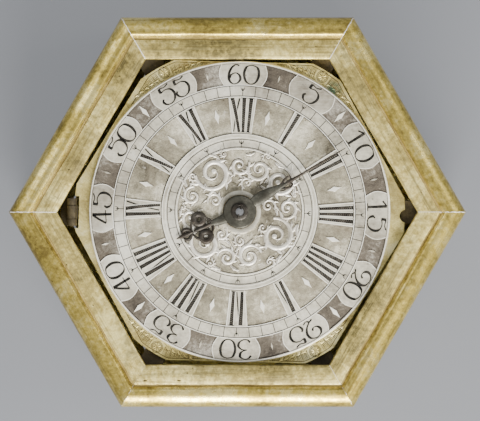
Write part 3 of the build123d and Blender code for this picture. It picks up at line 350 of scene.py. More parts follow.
def metal(name, dark, mid, bright, scale=60, rough=(0.32, 0.55), met=0.9, scratch=0.25, pits=0.3, stain=None,
          stain_amt=0.4, uv=False, stipple=0.0, patch=None, green=None, spec=0.5):
    """Aged metal: cloudy patina, fine scratches, pits and stains, in the object's own space."""
    t = NT(name)
    co = t.co
    cloud = t.noise(co, scale, 6, 0.62, 0.4)
    fine = t.noise(co, scale * 14, 5, 0.68)
    wf = 0.42 if uv else 0.3
    both = t.math("ADD", t.math("MULTIPLY", cloud, 1.0 - wf), t.math("MULTIPLY", fine, wf))
    lo = 0.39 if uv else 0.34
    col = t.ramp(both, [(lo, dark), (0.5, mid), (1.0 - lo, bright)])
    if stain is not None:
        st = t.noise(co, scale * 0.55, 5, 0.7, 1.2)
        col = t.mix(t.val(st, 0.0, stain_amt, 0.5, 0.68), col, stain, "MIX")
    if patch is not None:
        sp = t.noise(co, scale * 4.5, 3, 0.6)
        col = t.mix(t.val(sp, 0.0, 0.5, 0.64, 0.72), col, patch, "MIX")
        if uv:
            mot = t.noise(co, scale * 11, 6, 0.72, 0.6)
            area_m = t.val(t.noise(co, scale * 1.1, 3, 0.6), 0.15, 1.0, 0.44, 0.60)
            col = t.mix(t.math("MULTIPLY", t.val(mot, 0.0, 0.62, 0.52, 0.62), area_m), col, stain, "MIX")
    # scratches: noise stretched along the length
    if uv:
        u = t.n("ShaderNodeUVMap")
        u.uv_map = "lay"
        sc = t.noise(t.mapping(u.outputs[0], (60, 5200, 1)), 1.0, 5, 0.65)
        st2 = t.noise(t.mapping(u.outputs[0], (22, 750, 1)), 1.0, 5, 0.7)
        col = t.mix(t.val(st2, 0.0, 0.75, 0.5, 0.66), col, tuple(c * 1.15 for c in dark), "MIX")
    else:
        sc = t.noise(t.mapping(co, (220, 6000, 220), (0, 0, 0.5)), 1.0, 4, 0.6)
    col = t.mix(t.val(sc, 0.0, scratch, 0.45, 0.75), col, t.mix(0.5, col, bright), "MIX")
    vor = t.n("ShaderNodeTexVoronoi")
    vor.inputs["Scale"].default_value = scale * 9
    t.link(co, vor.inputs["Vector"])
    pit = t.val(vor.outputs["Distance"], 1.0, 0.0, 0.05, 0.16)
    pm = t.math("MULTIPLY", pit, t.val(t.noise(co, scale * 1.7, 2), 0.0, 1.0, 0.52, 0.62))
    col = t.mix(t.math("MULTIPLY", pm, pits), col, tuple(c * 0.25 for c in dark), "MIX")
    r = t.val(both, rough[1], rough[0], 0.35, 0.65)
    r = t.math("ADD", r, t.math("MULTIPLY", pm, 0.2))
    h = t.math("SUBTRACT", t.math("MULTIPLY", sc, 0.5), pm)
    nrm = t.bump(h, 0.25 if scratch else 0.1, 0.00006)
    nrm = t.bump(cloud, 0.35, 0.00025, nrm)
    if green is not None:
        dn = t.n("ShaderNodeVectorMath")
        dn.operation = "DISTANCE"
        dn.inputs[1].default_value = (green[0] * MM, green[1] * MM, 0.0736)
        t.link(co, dn.inputs[0])
        gm = t.math("MULTIPLY", t.val(dn.outputs["Value"], 1.0, 0.0, 0.0009, 0.0032), t.val(t.noise(co, 700, 4, 0.6), 0.2, 1.0, 0.4, 0.55))
        col = t.mix(gm, col, (0.10, 0.19, 0.11), "MIX")
    if stipple:
        v2 = t.n("ShaderNodeTexVoronoi")
        v2.inputs["Scale"].default_value = 2600
        t.link(co, v2.inputs["Vector"])
        nrm = t.bump(v2.outputs["Distance"], stipple, 0.00012, nrm)
        col = t.mix(t.val(v2.outputs["Distance"], 0.35, 0.0, 0.1, 0.45), col, tuple(c * 0.5 for c in dark), "MIX")
    return t.set(col, r, met, nrm, Specular_IOR_Level=spec)


M = {}
M["case_out"] = metal("gilt_outer", (0.17, 0.118, 0.022), (0.60, 0.455, 0.098), (0.99, 0.83, 0.33), 52, (0.22, 0.42), 0.85,
                      0.4, 0.9, (0.19, 0.138, 0.032), 0.5, uv=True, patch=(0.11, 0.078, 0.022))
M["case_in"] = metal("gilt_inner", (0.10, 0.077, 0.022), (0.47, 0.37, 0.108), (0.95, 0.81, 0.33), 48, (0.36, 0.6), 0.65,
                     0.6, 1.0, (0.14, 0.11, 0.042), 0.85, uv=True, patch=(0.09, 0.066, 0.026))
# darker brown for the moulding grooves: painted shade in the creases
M["crease"] = metal("moulding_crease_painted_shade", (0.14, 0.098, 0.026), (0.27, 0.20, 0.062), (0.48, 0.38, 0.14), 90, (0.5, 0.75), 0.4, 0.1, 0.2, spec=0.2)
# near-black for hollows: painted shade of the casting pits and engraved cuts, with some dirt
M["groove"] = metal("groove_shade_and_dirt", (0.02, 0.014, 0.007), (0.04, 0.028, 0.014), (0.09, 0.065, 0.03), 90, (0.7, 0.9), 0.0, 0.1, 0.2, spec=0.05)
M["solder"] = metal("solder_line", (0.62, 0.55, 0.44), (0.86, 0.79, 0.67), (0.95, 0.91, 0.82), 300, (0.35, 0.5), 0.4, 0.1, 0.2)
M["wall"] = metal("gilt_wall", (0.15, 0.105, 0.02), (0.48, 0.375, 0.10), (0.80, 0.67, 0.26), 55, (0.28, 0.5), 0.9, 0.3, 0.5,
                  (0.20, 0.135, 0.045), 0.4)
M["plate"] = metal("gilt_dial_plate", (0.26, 0.195, 0.055), (0.66, 0.55, 0.20), (0.95, 0.86, 0.48), 150, (0.35, 0.5), 0.7, 0.2, 0.8,
                   (0.20, 0.145, 0.045), 0.7, green=(29.5, 37.6))
M["sil"] = metal("silver_polished", (0.20, 0.178, 0.13), (0.62, 0.575, 0.45), (0.97, 0.93, 0.79), 42, (0.34, 0.5), 0.5, 0.45, 0.7,
                 (0.20, 0.165, 0.118), 0.75)
# bright silver for the polished lozenges and the filed square end; also drawn as thin lines along raised edges as
# painted highlights
M["lite"] = metal("silver_bright_and_edge_highlight", (0.74, 0.70, 0.57), (0.96, 0.92, 0.79), (0.99, 0.965, 0.87), 160, (0.3, 0.42), 0.4, 0.2, 0.2)
M["mat"] = metal("silver_matted", (0.075, 0.064, 0.043), (0.30, 0.27, 0.19), (0.74, 0.69, 0.54), 62, (0.55, 0.75), 0.35, 0.0, 0.8,
                 (0.15, 0.12, 0.083), 0.85, stipple=0.6, patch=(0.62, 0.58, 0.49), spec=0.25)
# dark matted silver for the dark ground; also drawn as dark bands under the scrollwork as painted shade
M["dark"] = metal("silver_dark_ground_and_relief_shade", (0.045, 0.037, 0.028), (0.13, 0.11, 0.083), (0.48, 0.45, 0.375), 80, (0.6, 0.8), 0.3, 0.0, 0.6,
                  (0.07, 0.055, 0.037), 0.6, stipple=0.6, spec=0.2)
M["ink"] = metal("black_wax", (0.006, 0.0055, 0.005), (0.015, 0.014, 0.0115), (0.055, 0.05, 0.041), 400, (0.55, 0.8), 0.0, 0.0, 0.1, spec=0.08)
M["hand"] = metal("dark_steel", (0.008, 0.007, 0.005), (0.028, 0.024, 0.019), (0.10, 0.09, 0.075), 160, (0.38, 0.6), 0.5, 0.3, 0.3,
                  (0.045, 0.03, 0.018), 0.4, spec=0.2)
M["handlight"] = metal("worn_steel", (0.018, 0.017, 0.012), (0.046, 0.044, 0.034), (0.125, 0.12, 0.095), 160, (0.4, 0.58), 0.5, 0.3, 0.3,
                       (0.045, 0.036, 0.024), 0.4, spec=0.2)
M["relief"] = metal("silver_relief", (0.42, 0.385, 0.31), (0.72, 0.68, 0.58), (0.93, 0.90, 0.81), 90, (0.34, 0.5), 0.5, 0.3, 0.3,
                    (0.35, 0.30, 0.22), 0.5)
M["brass"] = metal("brass_clean", (0.44, 0.30, 0.09), (0.66, 0.49, 0.19), (0.82, 0.65, 0.31), 90, (0.24, 0.4), 0.95, 0.3, 0.2,
                   (0.42, 0.28, 0.10), 0.3)
M["steel"] = metal("steel_clean", (0.18, 0.175, 0.17), (0.38, 0.38, 0.38), (0.60, 0.60, 0.60), 120, (0.24, 0.42), 0.95, 0.3, 0.2,
                   (0.18, 0.14, 0.10), 0.3)
M["bell"] = metal("bell_bronze", (0.32, 0.22, 0.09), (0.55, 0.42, 0.21), (0.74, 0.60, 0.34), 60, (0.25, 0.42), 0.95, 0.3, 0.3,
                  (0.27, 0.18, 0.09), 0.4)
# near-black brass for the lugs, hinge and catch seen in the gaps round the dial plate: painted shade of the gaps
M["dirty"] = metal("brass_painted_gap_shade", (0.018, 0.013, 0.006), (0.045, 0.034, 0.015), (0.12, 0.092, 0.042), 120, (0.5, 0.75), 0.5, 0.2, 0.3)


def glass_mat():
    t = NT("old_glass")
    w = t.noise(t.co, 60, 2, 0.5)
    nrm = t.bump(w, 0.1, 0.0003)
    col = t.ramp(w, [(0.3, (0.82, 0.90, 0.86)), (0.7, (0.93, 0.96, 0.94))])
    t.set(col, None, 0.0, nrm)
    t.link(t.val(t.noise(t.co, 300, 3), 0.0, 0.03), t.bsdf.inputs["Roughness"])
    t.bsdf.inputs["Transmission Weight"].default_value = 0.96
    t.bsdf.inputs["IOR"].default_value = 1.48
    return t.mat


M["glass"] = glass_mat()


# ------------------------------------------------------------------ camera and light first
cam_d = bpy.data.cameras.new("cam")
cam = bpy.data.objects.new("cam", cam_d)
bpy.context.collection.objects.link(cam)
DIST = 1.5
cam_d.lens = 36.0 * DIST / (480 * 0.30541e-3)
cam_d.clip_end = 10
cam.location = (0.81 * MM, 0.49 * MM, 0.0775 + DIST)
cam.rotation_euler = (0, 0, 0)
bpy.context.scene.camera = cam

world = bpy.data.worlds.new("studio")
bpy.context.scene.world = world
world.use_nodes = True
world.node_tree.nodes["Background"].inputs[0].default_value = (0.93, 0.96, 1.0, 1)
world.node_tree.nodes["Background"].inputs[1].default_value = 0.46


def area(name, loc, target, size, power, col=(1, 1, 1)):
    ld = bpy.data.lights.new(name, "AREA")
    ld.shape = "RECTANGLE"
    ld.size, ld.size_y = size
    ld.energy = power
    ld.color = col
    ob = bpy.data.objects.new(name, ld)
    bpy.context.collection.objects.link(ob)
    ob.location = loc
    ob.rotation_euler = (Vector(target) - Vector(loc)).to_track_quat("-Z", "Y").to_euler()
    return ob


area("key_south", (0.10, -0.41, 0.34), (0, 0, 0.05), (0.38, 0.20), 9.4, (1.0, 0.98, 0.95))
area("fill_east", (1.5, 0.15, 1.2), (0, 0, 0.05), (0.8, 0.8), 15.0, (0.98, 0.99, 1.0))
area("fill_north", (-0.9, 1.1, 1.5), (0, 0, 0.05), (1.4, 1.4), 14.0, (0.97, 0.98, 1.0))

fv, ff = [], []
nf = 24
for j in range(nf + 1):
    for i in range(nf + 1):
        fv.append(((i / nf - 0.5) * 4000, (j / nf - 0.5) * 4000, -0.02))
for j in range(nf):
    for i in range(nf):
        a = j * (nf + 1) + i
        ff.append((a, a + 1, a + nf + 2, a + nf + 1))
tf = NT("floor_paint")
fn = tf.noise(tf.co, 6, 3, 0.5)
tf.set(tf.ramp(fn, [(0.3, (0.082, 0.085, 0.092)), (0.7, (0.086, 0.089, 0.096))]), 0.9, 0.0)
tf.bsdf.inputs["Emission Color"].default_value = (0.215, 0.222, 0.238, 1)
tf.bsdf.inputs["Emission Strength"].default_value = 1.0
floor = make("floor", fv, ff, tf.mat)


# ------------------------------------------------------------------ case mouldings
def hexpts(d):
    a, s = AP_TOP - d, AP_SIDE - d
    c = math.cos(math.radians(30))
    xv, xt = s / c, (s - a * 0.5) / c
    return [(xv, 0), (xt, a), (-xt, a), (-xv, 0), (-xt, -a), (xt, -a)]


def fine(prof, n=4, keep=()):
    """Adds points along a profile of (d, z, sharp?) so that its curves are smooth."""
    out = []
    N = len(prof)
    for i in range(N):
        p1, p2 = prof[i], prof[(i + 1) % N]
        p0, p3 = prof[(i - 1) % N], prof[(i + 2) % N]
        q0 = p0 if len(p1) < 3 else p1
        q3 = p3 if len(p2) < 3 else p2
        straight = len(p1) > 2 and len(p2) > 2
        m = 1 if straight else n
        for k in range(m):
            t = k / m
            out.append(tuple(0.5 * ((2 * p1[c]) + (-q0[c] + p2[c]) * t + (2 * q0[c] - 5 * p1[c] + 4 * p2[c] - q3[c]) * t * t
                                    + (-q0[c] + 3 * p1[c] - 3 * p2[c] + q3[c]) * t ** 3) for c in (0, 1)))
    return out


def wob(x, y, k):
    """Small hand-made unevenness of a length of moulding, millimetres."""
    return 0.05 * math.sin(x * 0.31 + k * 1.7) + 0.04 * math.sin(y * 0.23 + k * 2.9 + x * 0.11) + 0.02 * math.sin(x * 1.3 + y * 0.9 + k)


def moulding(name, prof, mats, midx, nseg=56, zmax=78.0):
    """Six mitred lengths of moulding, each its own closed solid, slightly uneven, with a hairline mitre gap."""
    v, f, m, uv = [], [], [], []
    n = len(prof)
    for i in range(6):
        base = len(v)
        for s in range(nseg + 1):
            u = s / nseg
            for d, z in prof:
                hp = hexpts(d)
                a, b = hp[i], hp[(i + 1) % 6]
                L = math.hypot(b[0] - a[0], b[1] - a[1])
                g = 0.02 / L
                uu = g + (1 - 2 * g) * u
                x, y = a[0] + (b[0] - a[0]) * uu, a[1] + (b[1] - a[1]) * uu
                e = math.sin(math.pi * u) ** 0.5
                k = (i + 1) * 1.0
                dn = wob(x, y, k) * e
                cx, cy = (a[0] + b[0]) / 2, (a[1] + b[1]) / 2
                r = math.hypot(cx, cy)
                if d > 0.3:
                    x -= cx / r * dn
                    y -= cy / r * dn
                zz = min(zmax, z + 0.5 * wob(y + 7, x - 3, k + 2) * e) if z > 14 else z
                v.append((x, y, zz))
                uv.append((i * 0.2 + (uu - 0.5) * L * MM, d * MM + i * 0.037))
        for s in range(nseg):
            for j in range(n):
                k2 = (j + 1) % n
                a = base + s * n
                f.append((a + j, a + k2, a + n + k2, a + n + j))
                m.append(midx(prof[j], prof[k2]))
        f.append(tuple(base + j for j in range(n)))
        m.append(0)
        f.append(tuple(base + nseg * n + j for j in reversed(range(n))))
        m.append(0)
    ob = make(name, v, f, mats, m, uv=uv)
    recalc(ob)
    return sharp(ob, 38)


top_prof = fine([(4.6, 67.0, 1), (3.4, 67.4), (1.6, 69.0), (0.6, 70.2, 1), (0.0, 70.9, 1), (0.0, 73.4), (0.30, 75.1), (1.0, 76.45),
                 (2.1, 77.35), (3.4, 77.85), (4.5, 77.97), (5.4, 77.75), (6.0, 77.2), (6.32, 76.84, 1), (6.46, 76.66, 1),
                 (6.86, 76.66, 1), (7.0, 76.8, 1), (7.2, 76.88, 1), (12.5, 76.80, 1), (12.8, 76.6, 1), (12.9, 76.3, 1), (12.9, 71.6, 1), (10.4, 67.0, 1)], 4)


def top_mi(p, q):
    d, z = (p[0] + q[0]) / 2, (p[1] + q[1]) / 2
    # index 2 is the groove between the bead and the inner band, coloured darker as painted shade
    if 6.31 < d < 7.0 and z < 76.85:
        return 2
    return 0 if d < 6.5 and z > 67 else 1


case_top = moulding("case_top_moulding", top_prof, [M["case_out"], M["case_in"], M["crease"]], top_mi)
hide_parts("top_frame")
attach(case_top, "case")

base_prof = fine([(1.4, 13.0, 1), (0.4, 14.6), (0.4, 15.8, 1), (1.0, 16.4, 1), (1.0, 17.6, 1), (0.4, 18.6), (0.4, 20.4), (1.2, 21.6),
                  (3.0, 22.6, 1), (3.8, 24.0, 1), (6.8, 24.0, 1), (9.0, 20.0, 1), (9.0, 16.2, 1), (13.2, 16.2, 1), (13.2, 13.0, 1)], 3)
# index 2 colours the recessed fillet low on the base darker, as painted shade
case_base = moulding("case_base_moulding", base_prof, [M["case_out"], M["case_in"], M["crease"]],
                     lambda p, q: 2 if 16.0 < (p[1] + q[1]) / 2 < 17.8 and (p[0] + q[0]) / 2 < 1.3 else (0 if (p[0] + q[0]) / 2 < 6.7 else 1))
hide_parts("base_frame")
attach(case_base, "case")

# solder at the mitres: a bright raised thread that follows the moulding's profile
sol = Geo(lambda x, y: (x, y))
for i in range(6):
    c = [hexpts(d)[i] for d in (0.0, 12.9)]
    ux, uy = c[1][0] - c[0][0], c[1][1] - c[0][1]
    L = math.hypot(ux, uy)
    ux, uy = ux / L, uy / L
    px, py = -uy, ux
    path = [(d, z) for d, z in top_prof if z > 73.6 and 0.25 <= d <= 12.9]
    path.sort(key=lambda q: q[0])
    verts, faces = [], []
    for k, (d, z) in enumerate(path):
        q = hexpts(d)[i]
        w = (0.04 if i in (4, 5) else 0.17) * (1 + 0.3 * math.sin(k * 1.9 + i)) + 0.04 * math.sin(k * 0.7 + 2 * i)
        off = 0.05 * math.sin(k * 0.9 + i * 2)
        zt = min(78.0, z + 0.035)
        for s, zz in ((-w, z - 0.12), (-w * 0.6, zt), (w * 0.6, zt), (w, z - 0.12)):
            verts.append((q[0] + px * (s + off), q[1] + py * (s + off), zz))
    K4 = 4
    for k in range(len(path) - 1):
        for j in range(4):
            a, b = k * K4 + j, k * K4 + (j + 1) % 4
            faces.append((a, b, b + K4, a + K4))
    faces.append((0, 1, 2, 3))
    faces.append(tuple((len(path) - 1) * K4 + j for j in (3, 2, 1, 0)))
    sol.add(verts, faces)
solder = sol.out("mitre_solder_lines", [M["solder"]])
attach(solder, "case")


# casting pits: small near-black patches on the moulding, painted shade of the pits with dirt
pits = Geo(lambda x, y: (x, y))
for x, y, r, a in ((-28.2, -51.55, 0.42, 0.1), (-17.8, -51.55, 0.38, -0.1), (49.3, -31.0, 0.24, 1.0), (18.0, -51.0, 0.2, 0.0), (36.5, -48.2, 0.2, 0.4),
                   (-36.0, 41.5, 0.26, 1.0), (24.0, 50.6, 0.2, 0.2), (-8.0, 50.2, 0.16, 0.2), (53.0, 17.4, 0.22, 2.0), (-44.0, -28.5, 0.22, 1.0),
                   (-51.5, 13.0, 0.26, 1.0), (43.0, -38.6, 0.2, 1.0), (6.0, -51.9, 0.14, 0.0), (-2.0, 49.8, 0.14, 0.0), (56.2, 6.0, 0.2, 2.0)):
    loop = [(x + r * (1.6 if abs(math.cos(q * math.pi / 5)) > 0.5 else 1.0) * math.cos(q * math.pi / 5 + a), y + 0.55 * r * math.sin(q * math.pi / 5 + a)) for q in range(10)]
    pits.prism(loop, 76.5, 76.93, 0.05, 0)
pit_ob = pits.out("casting_pits", [M["groove"]])
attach(pit_ob, "case")


# ------------------------------------------------------------------ dial
def pol(r, deg):
    a = math.radians(deg)
    return (r * math.cos(a), r * math.sin(a))


def clock(k):
    """Angle anticlockwise from +X of the k-th twelfth, k=0 at the top."""
    return 90.0 - 30.0 * k


ZD = 74.6
dial_prof = [(5.2, 73.6), (5.2, ZD - 0.1), (5.9, ZD + 0.12), (6.5, ZD + 0.14), (6.9, ZD - 0.22),
             (18.9, ZD - 0.22), (19.15, ZD), (19.5, ZD + 0.02), (19.7, ZD - 0.06), (22.3, ZD - 0.06), (22.55, ZD + 0.03), (23.9, ZD + 0.05),
             (24.15, ZD - 0.22), (35.05, ZD - 0.22), (35.3, ZD + 0.02), (38.7, ZD + 0.02), (38.9, ZD - 0.2),
             (45.3, ZD - 0.2), (45.45, ZD + 0.08), (45.9, ZD + 0.08), (46.1, ZD - 0.05), (46.1, 73.6)]
SIL, MAT, DRK, INK = 0, 1, 2, 3
dial_idx = [SIL, SIL, SIL, SIL, MAT, SIL, SIL, SIL, SIL, SIL, SIL, SIL, MAT, MAT, SIL, SIL, DRK, DRK, SIL, SIL, SIL, SIL]
dial_idx[4] = MAT
dial_idx[3] = MAT
dmats = [M["sil"], M["mat"], M["dark"], M["ink"], M["lite"]]
LIT = 4
dial = lathe("silver_dial_ground", dial_prof, dmats, dial_idx, seg=240)
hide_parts("dial_disc")
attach(dial, "movement")

# raised polished plaques, lozenges
pq = Geo()
for k in range(12):
    c = clock(k)
    pq.patch(c - 8.6, c + 8.6, 38.8, 45.5, ZD - 0.25, ZD + 0.03, 14, 1.5, SIL, 0.05)
    # painted highlights: bright lines along the plaque's rounded ends
    for e in (-1, 1):
        pts = []
        for i in range(13):
            u = i / 12
            an = c + e * (8.6 + 1.5 * math.sin(math.pi * u) - 0.15)
            pts.append(pol(38.95 + 6.45 * u, an))
        pq.ribbon(pts, 0.09, ZD + 0.0, 0.07, False, LIT)
    # lozenge on the dark panel, worn away on some
    cc = c - 15
    a = math.radians(cc)
    big = k in (1, 4, 7, 10)
    w, h = (0.72, 2.45) if big else (0.34, 1.3)
    pts = [(42.3 - h, 0), (42.3 - h * 0.45, -w * 0.5), (42.3, -w), (42.3 + h * 0.45, -w * 0.5), (42.3 + h, 0),
           (42.3 + h * 0.45, w * 0.5), (42.3, w), (42.3 - h * 0.45, w * 0.5)]
    pq.prism([(x * math.cos(a) - y * math.sin(a), x * math.sin(a) + y * math.cos(a)) for x, y in pts], ZD - 0.25, ZD + 0.0, 0.1, LIT if big else SIL)
    # half-hour lozenge
    pts = [(29.8 - 2.3, 0), (29.8 - 1.0, -0.38), (29.8, -0.8), (29.8 + 1.0, -0.38), (29.8 + 2.3, 0), (29.8 + 1.0, 0.38), (29.8, 0.8), (29.8 - 1.0, 0.38)]
    pq.prism([(x * math.cos(a) - y * math.sin(a), x * math.sin(a) + y * math.cos(a)) for x, y in pts], ZD - 0.25, ZD + 0.04, 0.12, LIT)

WID = {1: 1, 2: 2, 3: 3, 4: 4, 5: 1.7, 6: 2.8, 7: 3.8, 8: 4.8, 9: 2.9, 10: 1.9, 11: 2.9, 12: 3.9}
ROMAN = {1: "I", 2: "II", 3: "III", 4: "IIII", 5: "V", 6: "VI", 7: "VII", 8: "VIII", 9: "IX", 10: "X", 11: "XI", 12: "XII"}
RM = 29.6
PITCH_I = 1.85


def cells(txt):
    w = 0
    out = []
    for ch in txt:
        cw = {"I": PITCH_I, "V": 2.9, "X": 2.75}[ch]
        out.append((ch, w + cw / 2))
        w += cw
    return [(ch, x - w / 2) for ch, x in out], w


def rwarp(c):
    def f(u, v):
        a = math.radians(c) - u / RM
        return T(v * math.cos(a), v * math.sin(a))
    return f


num = Geo()
R0, R1 = 24.35, 34.95
for k in range(1, 13):
    cs, w = cells(ROMAN[k])
    c = clock(k)
    half = math.degrees((w / 2 + 0.3) / RM)
    # painted highlights: bright lines down both sides of the numeral plaque
    for e in (-1, 1):
        pq.ribbon([pol(24.2 + 10.8 * i / 8, c + e * half) for i in range(9)], 0.13, ZD - 0.03, 0.09, False, LIT)
    pq.patch(c - half, c + half, 24.1, 35.1, ZD - 0.25, ZD + 0.015, 12, 0.0, SIL, 0.04)
    num.warp = rwarp(c)
    z = ZD + 0.012

    def thick(u0, u1, v0=R0 + 0.2, v1=R1 - 0.2, hw=0.52):
        n = 14
        pts = [(u0 + (u1 - u0) * i / n, v0 + (v1 - v0) * i / n) for i in range(n + 1)]
        num.ribbon(pts, hw, z, 0.035, False, 0)
        # painted highlights as bright lines along both edges of the bar, and the fine hatching inside the bar
        for s in (-1, 1):
            num.ribbon([(p[0] + s * (hw + 0.09), p[1]) for p in pts], 0.07, z, 0.06, False, 1)
        m = 17
        for i in range(1, m):
            t = i / m
            u, v = u0 + (u1 - u0) * t, v0 + (v1 - v0) * t
            num.ribbon([(u - hw * 0.8, v - 0.20), (u + hw * 0.8, v + 0.20)], 0.042, z, 0.05, False, 2)

    def thin(u0, u1, v0=R0 + 0.25, v1=R1 - 0.25, hw=0.2):
        n = 10
        pts = [(u0 + (u1 - u0) * i / n, v0 + (v1 - v0) * i / n) for i in range(n + 1)]
        num.ribbon(pts, hw, z, 0.045, False, 0)

    def serif(u, v, hw):
        num.ribbon([(u - hw, v), (u, v), (u + hw, v)], 0.16, z, 0.04, False, 0)

    for ch, x in cs:
        if ch == "I":
            thick(x, x)
            serif(x, R0 + 0.16, 0.78)
            serif(x, R1 - 0.16, 0.78)
        elif ch == "V":
            thick(x - 0.75, x - 0.02, hw=0.56)
            thin(x + 1.15, x + 0.15)
        elif ch == "X":
            thick(x + 0.8, x - 0.8, hw=0.5)
            thin(x - 1.1, x + 1.1)
            serif(x + 0.8, R0 + 0.2, 0.55)
            serif(x - 0.8, R1 - 0.2, 0.55)

plaques = pq.out("silver_plaques", dmats)
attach(plaques, "movement")
romans = num.out("hour_numerals", [M["ink"], M["lite"], M["dark"]])
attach(romans, "movement")

# Arabic numerals of the minute ring, drawn with a broad pen: thick down strokes, thin cross strokes
DIG = {
    "0": [[(0.33, 0.98), (0.55, 0.87), (0.64, 0.5), (0.55, 0.13), (0.33, 0.0), (0.11, 0.13), (0.02, 0.5), (0.11, 0.87), (0.33, 0.98)]],
    "1": [[(0.08, 0.80), (0.30, 1.0)], [(0.30, 1.0), (0.30, 0.5), (0.30, 0.02)], [(0.12, 0.0), (0.48, 0.0)]],
    "2": [[(0.36, 0.60), (0.26, 0.48), (0.10, 0.53), (0.03, 0.74), (0.14, 0.94), (0.34, 1.0), (0.55, 0.90), (0.62, 0.66), (0.54, 0.38), (0.36, 0.18), (0.14, 0.05)],
          [(0.14, 0.05), (0.26, 0.12), (0.42, 0.02), (0.58, 0.10)]],
    "3": [[(0.06, 0.84), (0.16, 0.97), (0.33, 1.0), (0.49, 0.88), (0.47, 0.68), (0.34, 0.57), (0.20, 0.54)],
          [(0.20, 0.54), (0.42, 0.50), (0.56, 0.34), (0.52, 0.13), (0.34, 0.0), (0.16, 0.02), (0.05, 0.16)]],
    "4": [[(0.40, 1.0), (0.40, 0.5), (0.40, 0.0)], [(0.38, 0.98), (0.20, 0.65), (0.02, 0.30)], [(0.02, 0.30), (0.30, 0.30), (0.58, 0.32)]],
    "5": [[(0.56, 1.0), (0.38, 0.91), (0.16, 0.97)], [(0.16, 0.97), (0.14, 0.86), (0.14, 0.72)],
          [(0.14, 0.72), (0.36, 0.77), (0.57, 0.66), (0.64, 0.40), (0.54, 0.12), (0.32, 0.0), (0.11, 0.07), (0.03, 0.26), (0.10, 0.38)]],
    "6": [[(0.50, 0.93), (0.36, 0.99), (0.18, 0.82), (0.06, 0.50), (0.06, 0.20), (0.20, 0.01), (0.40, 0.03), (0.54, 0.22),
           (0.50, 0.44), (0.34, 0.56), (0.16, 0.48), (0.08, 0.32)]],
}
RN = 42.15
HN = 5.9
dg = Geo()
for k in range(1, 13):
    txt = str(5 * k)
    c = clock(k)

    def dwarp(u, v, c=c):
        a = math.radians(c) - u / RN
        return T(v * math.cos(a), v * math.sin(a))
    dg.warp = dwarp
    adv = 4.95
    w = adv * len(txt)
    for j, ch in enumerate(txt):
        x0 = -w / 2 + j * adv + 0.12
        for st in DIG[ch]:
            pts = spline(st, 9) if len(st) > 2 else [st[0], ((st[0][0] + st[1][0]) / 2, (st[0][1] + st[1][1]) / 2), st[1]]
            pts = [(x0 + p[0] * 7.3, RN - HN / 2 + p[1] * HN) for p in pts]
            ws = []
            n = len(pts)
            for i in range(n):
                a, b = pts[max(0, i - 1)], pts[min(n - 1, i + 1)]
                dx, dy = abs(b[0] - a[0]), abs(b[1] - a[1])
                s = dy / (math.hypot(dx, dy) or 1)
                ws.append(0.14 + 0.27 * s ** 2.0)
            dg.ribbon(pts, ws, ZD + 0.02, 0.05, False, 0)
minutes = dg.out("minute_numerals", [M["ink"]])
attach(minutes, "movement")

# engraved lines filled with black: minute track, quarter track, rings
ln = Geo()


def ring(r, hw=0.11, z=ZD, mi=0, h=0.03, n=200):
    for s in range(4):
        pts = [pol(r, s * 90 + 90.0 * i / (n // 4)) for i in range(n // 4 + 1)]
        ln.ribbon(pts, hw, z, h, False, mi)


for r in (35.45, 38.55):
    ring(r, 0.11, ZD + 0.02)
for r in (22.15, 19.85):
    ring(r, 0.11, ZD - 0.06)
# dark rings on the slopes and at the foot of the raised steps (45.35, 24.0, 35.0, 22.5, 19.0): painted shade along the
# steps
ring(45.35, 0.06, ZD + 0.0)
ring(24.0, 0.13, ZD - 0.02)
ring(35.0, 0.10, ZD - 0.2)
ring(22.5, 0.10, ZD - 0.04)
ring(19.0, 0.09, ZD - 0.12)
# bright rings along the tops of the raised steps and the rim: painted highlights on the edges
for r, zz in ((22.72, 0.02), (23.75, 0.04), (35.2, 0.02), (38.78, 0.02), (45.75, 0.08), (19.35, 0.02)):
    ring(r, 0.11, ZD + zz, 1, 0.06)
for i in range(60):
    a = 6.0 * i
    if i % 5:
        ln.ribbon([pol(35.5, a), pol(37.0, a), pol(38.5, a)], 0.10, ZD + 0.02, 0.03)
    else:
        ln.ribbon([pol(35.6, a), pol(37.2, a)], 0.1, ZD + 0.02, 0.03)
        ln.ribbon([pol(37.1, a), pol(37.9, a)], [0.3, 0.03], ZD + 0.02, 0.03)
        for s in (-1, 1):
            ln.ribbon([pol(37.0, a), pol(37.5, a + s * 0.7), pol(38.2, a + s * 0.95)], [0.09, 0.12, 0.05], ZD + 0.02, 0.03)
for i in range(48):
    a = 7.5 * i
    if i % 4:
        if i % 2 == 0:
            ln.ribbon([pol(19.9, a), pol(21.0, a), pol(22.1, a)], 0.085, ZD - 0.055, 0.03)
    else:
        ln.ribbon([pol(19.9, a), pol(20.9, a)], 0.09, ZD - 0.055, 0.03)
        for s in (-1, 1):
            ln.ribbon([pol(20.7, a), pol(21.2, a + s * 1.3), pol(21.9, a + s * 1.9)], [0.08, 0.14, 0.05], ZD - 0.055, 0.03)
        ln.ribbon([pol(20.8, a), pol(21.8, a)], [0.22, 0.04], ZD - 0.055, 0.03)
lines = ln.out("track_engraving", [M["ink"], M["lite"]])
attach(lines, "movement")

# centre ornament: raised leafy scrolls on the matted ground, a free layout of C-scrolls and leaves
orn = Geo()
ZC = ZD - 0.25


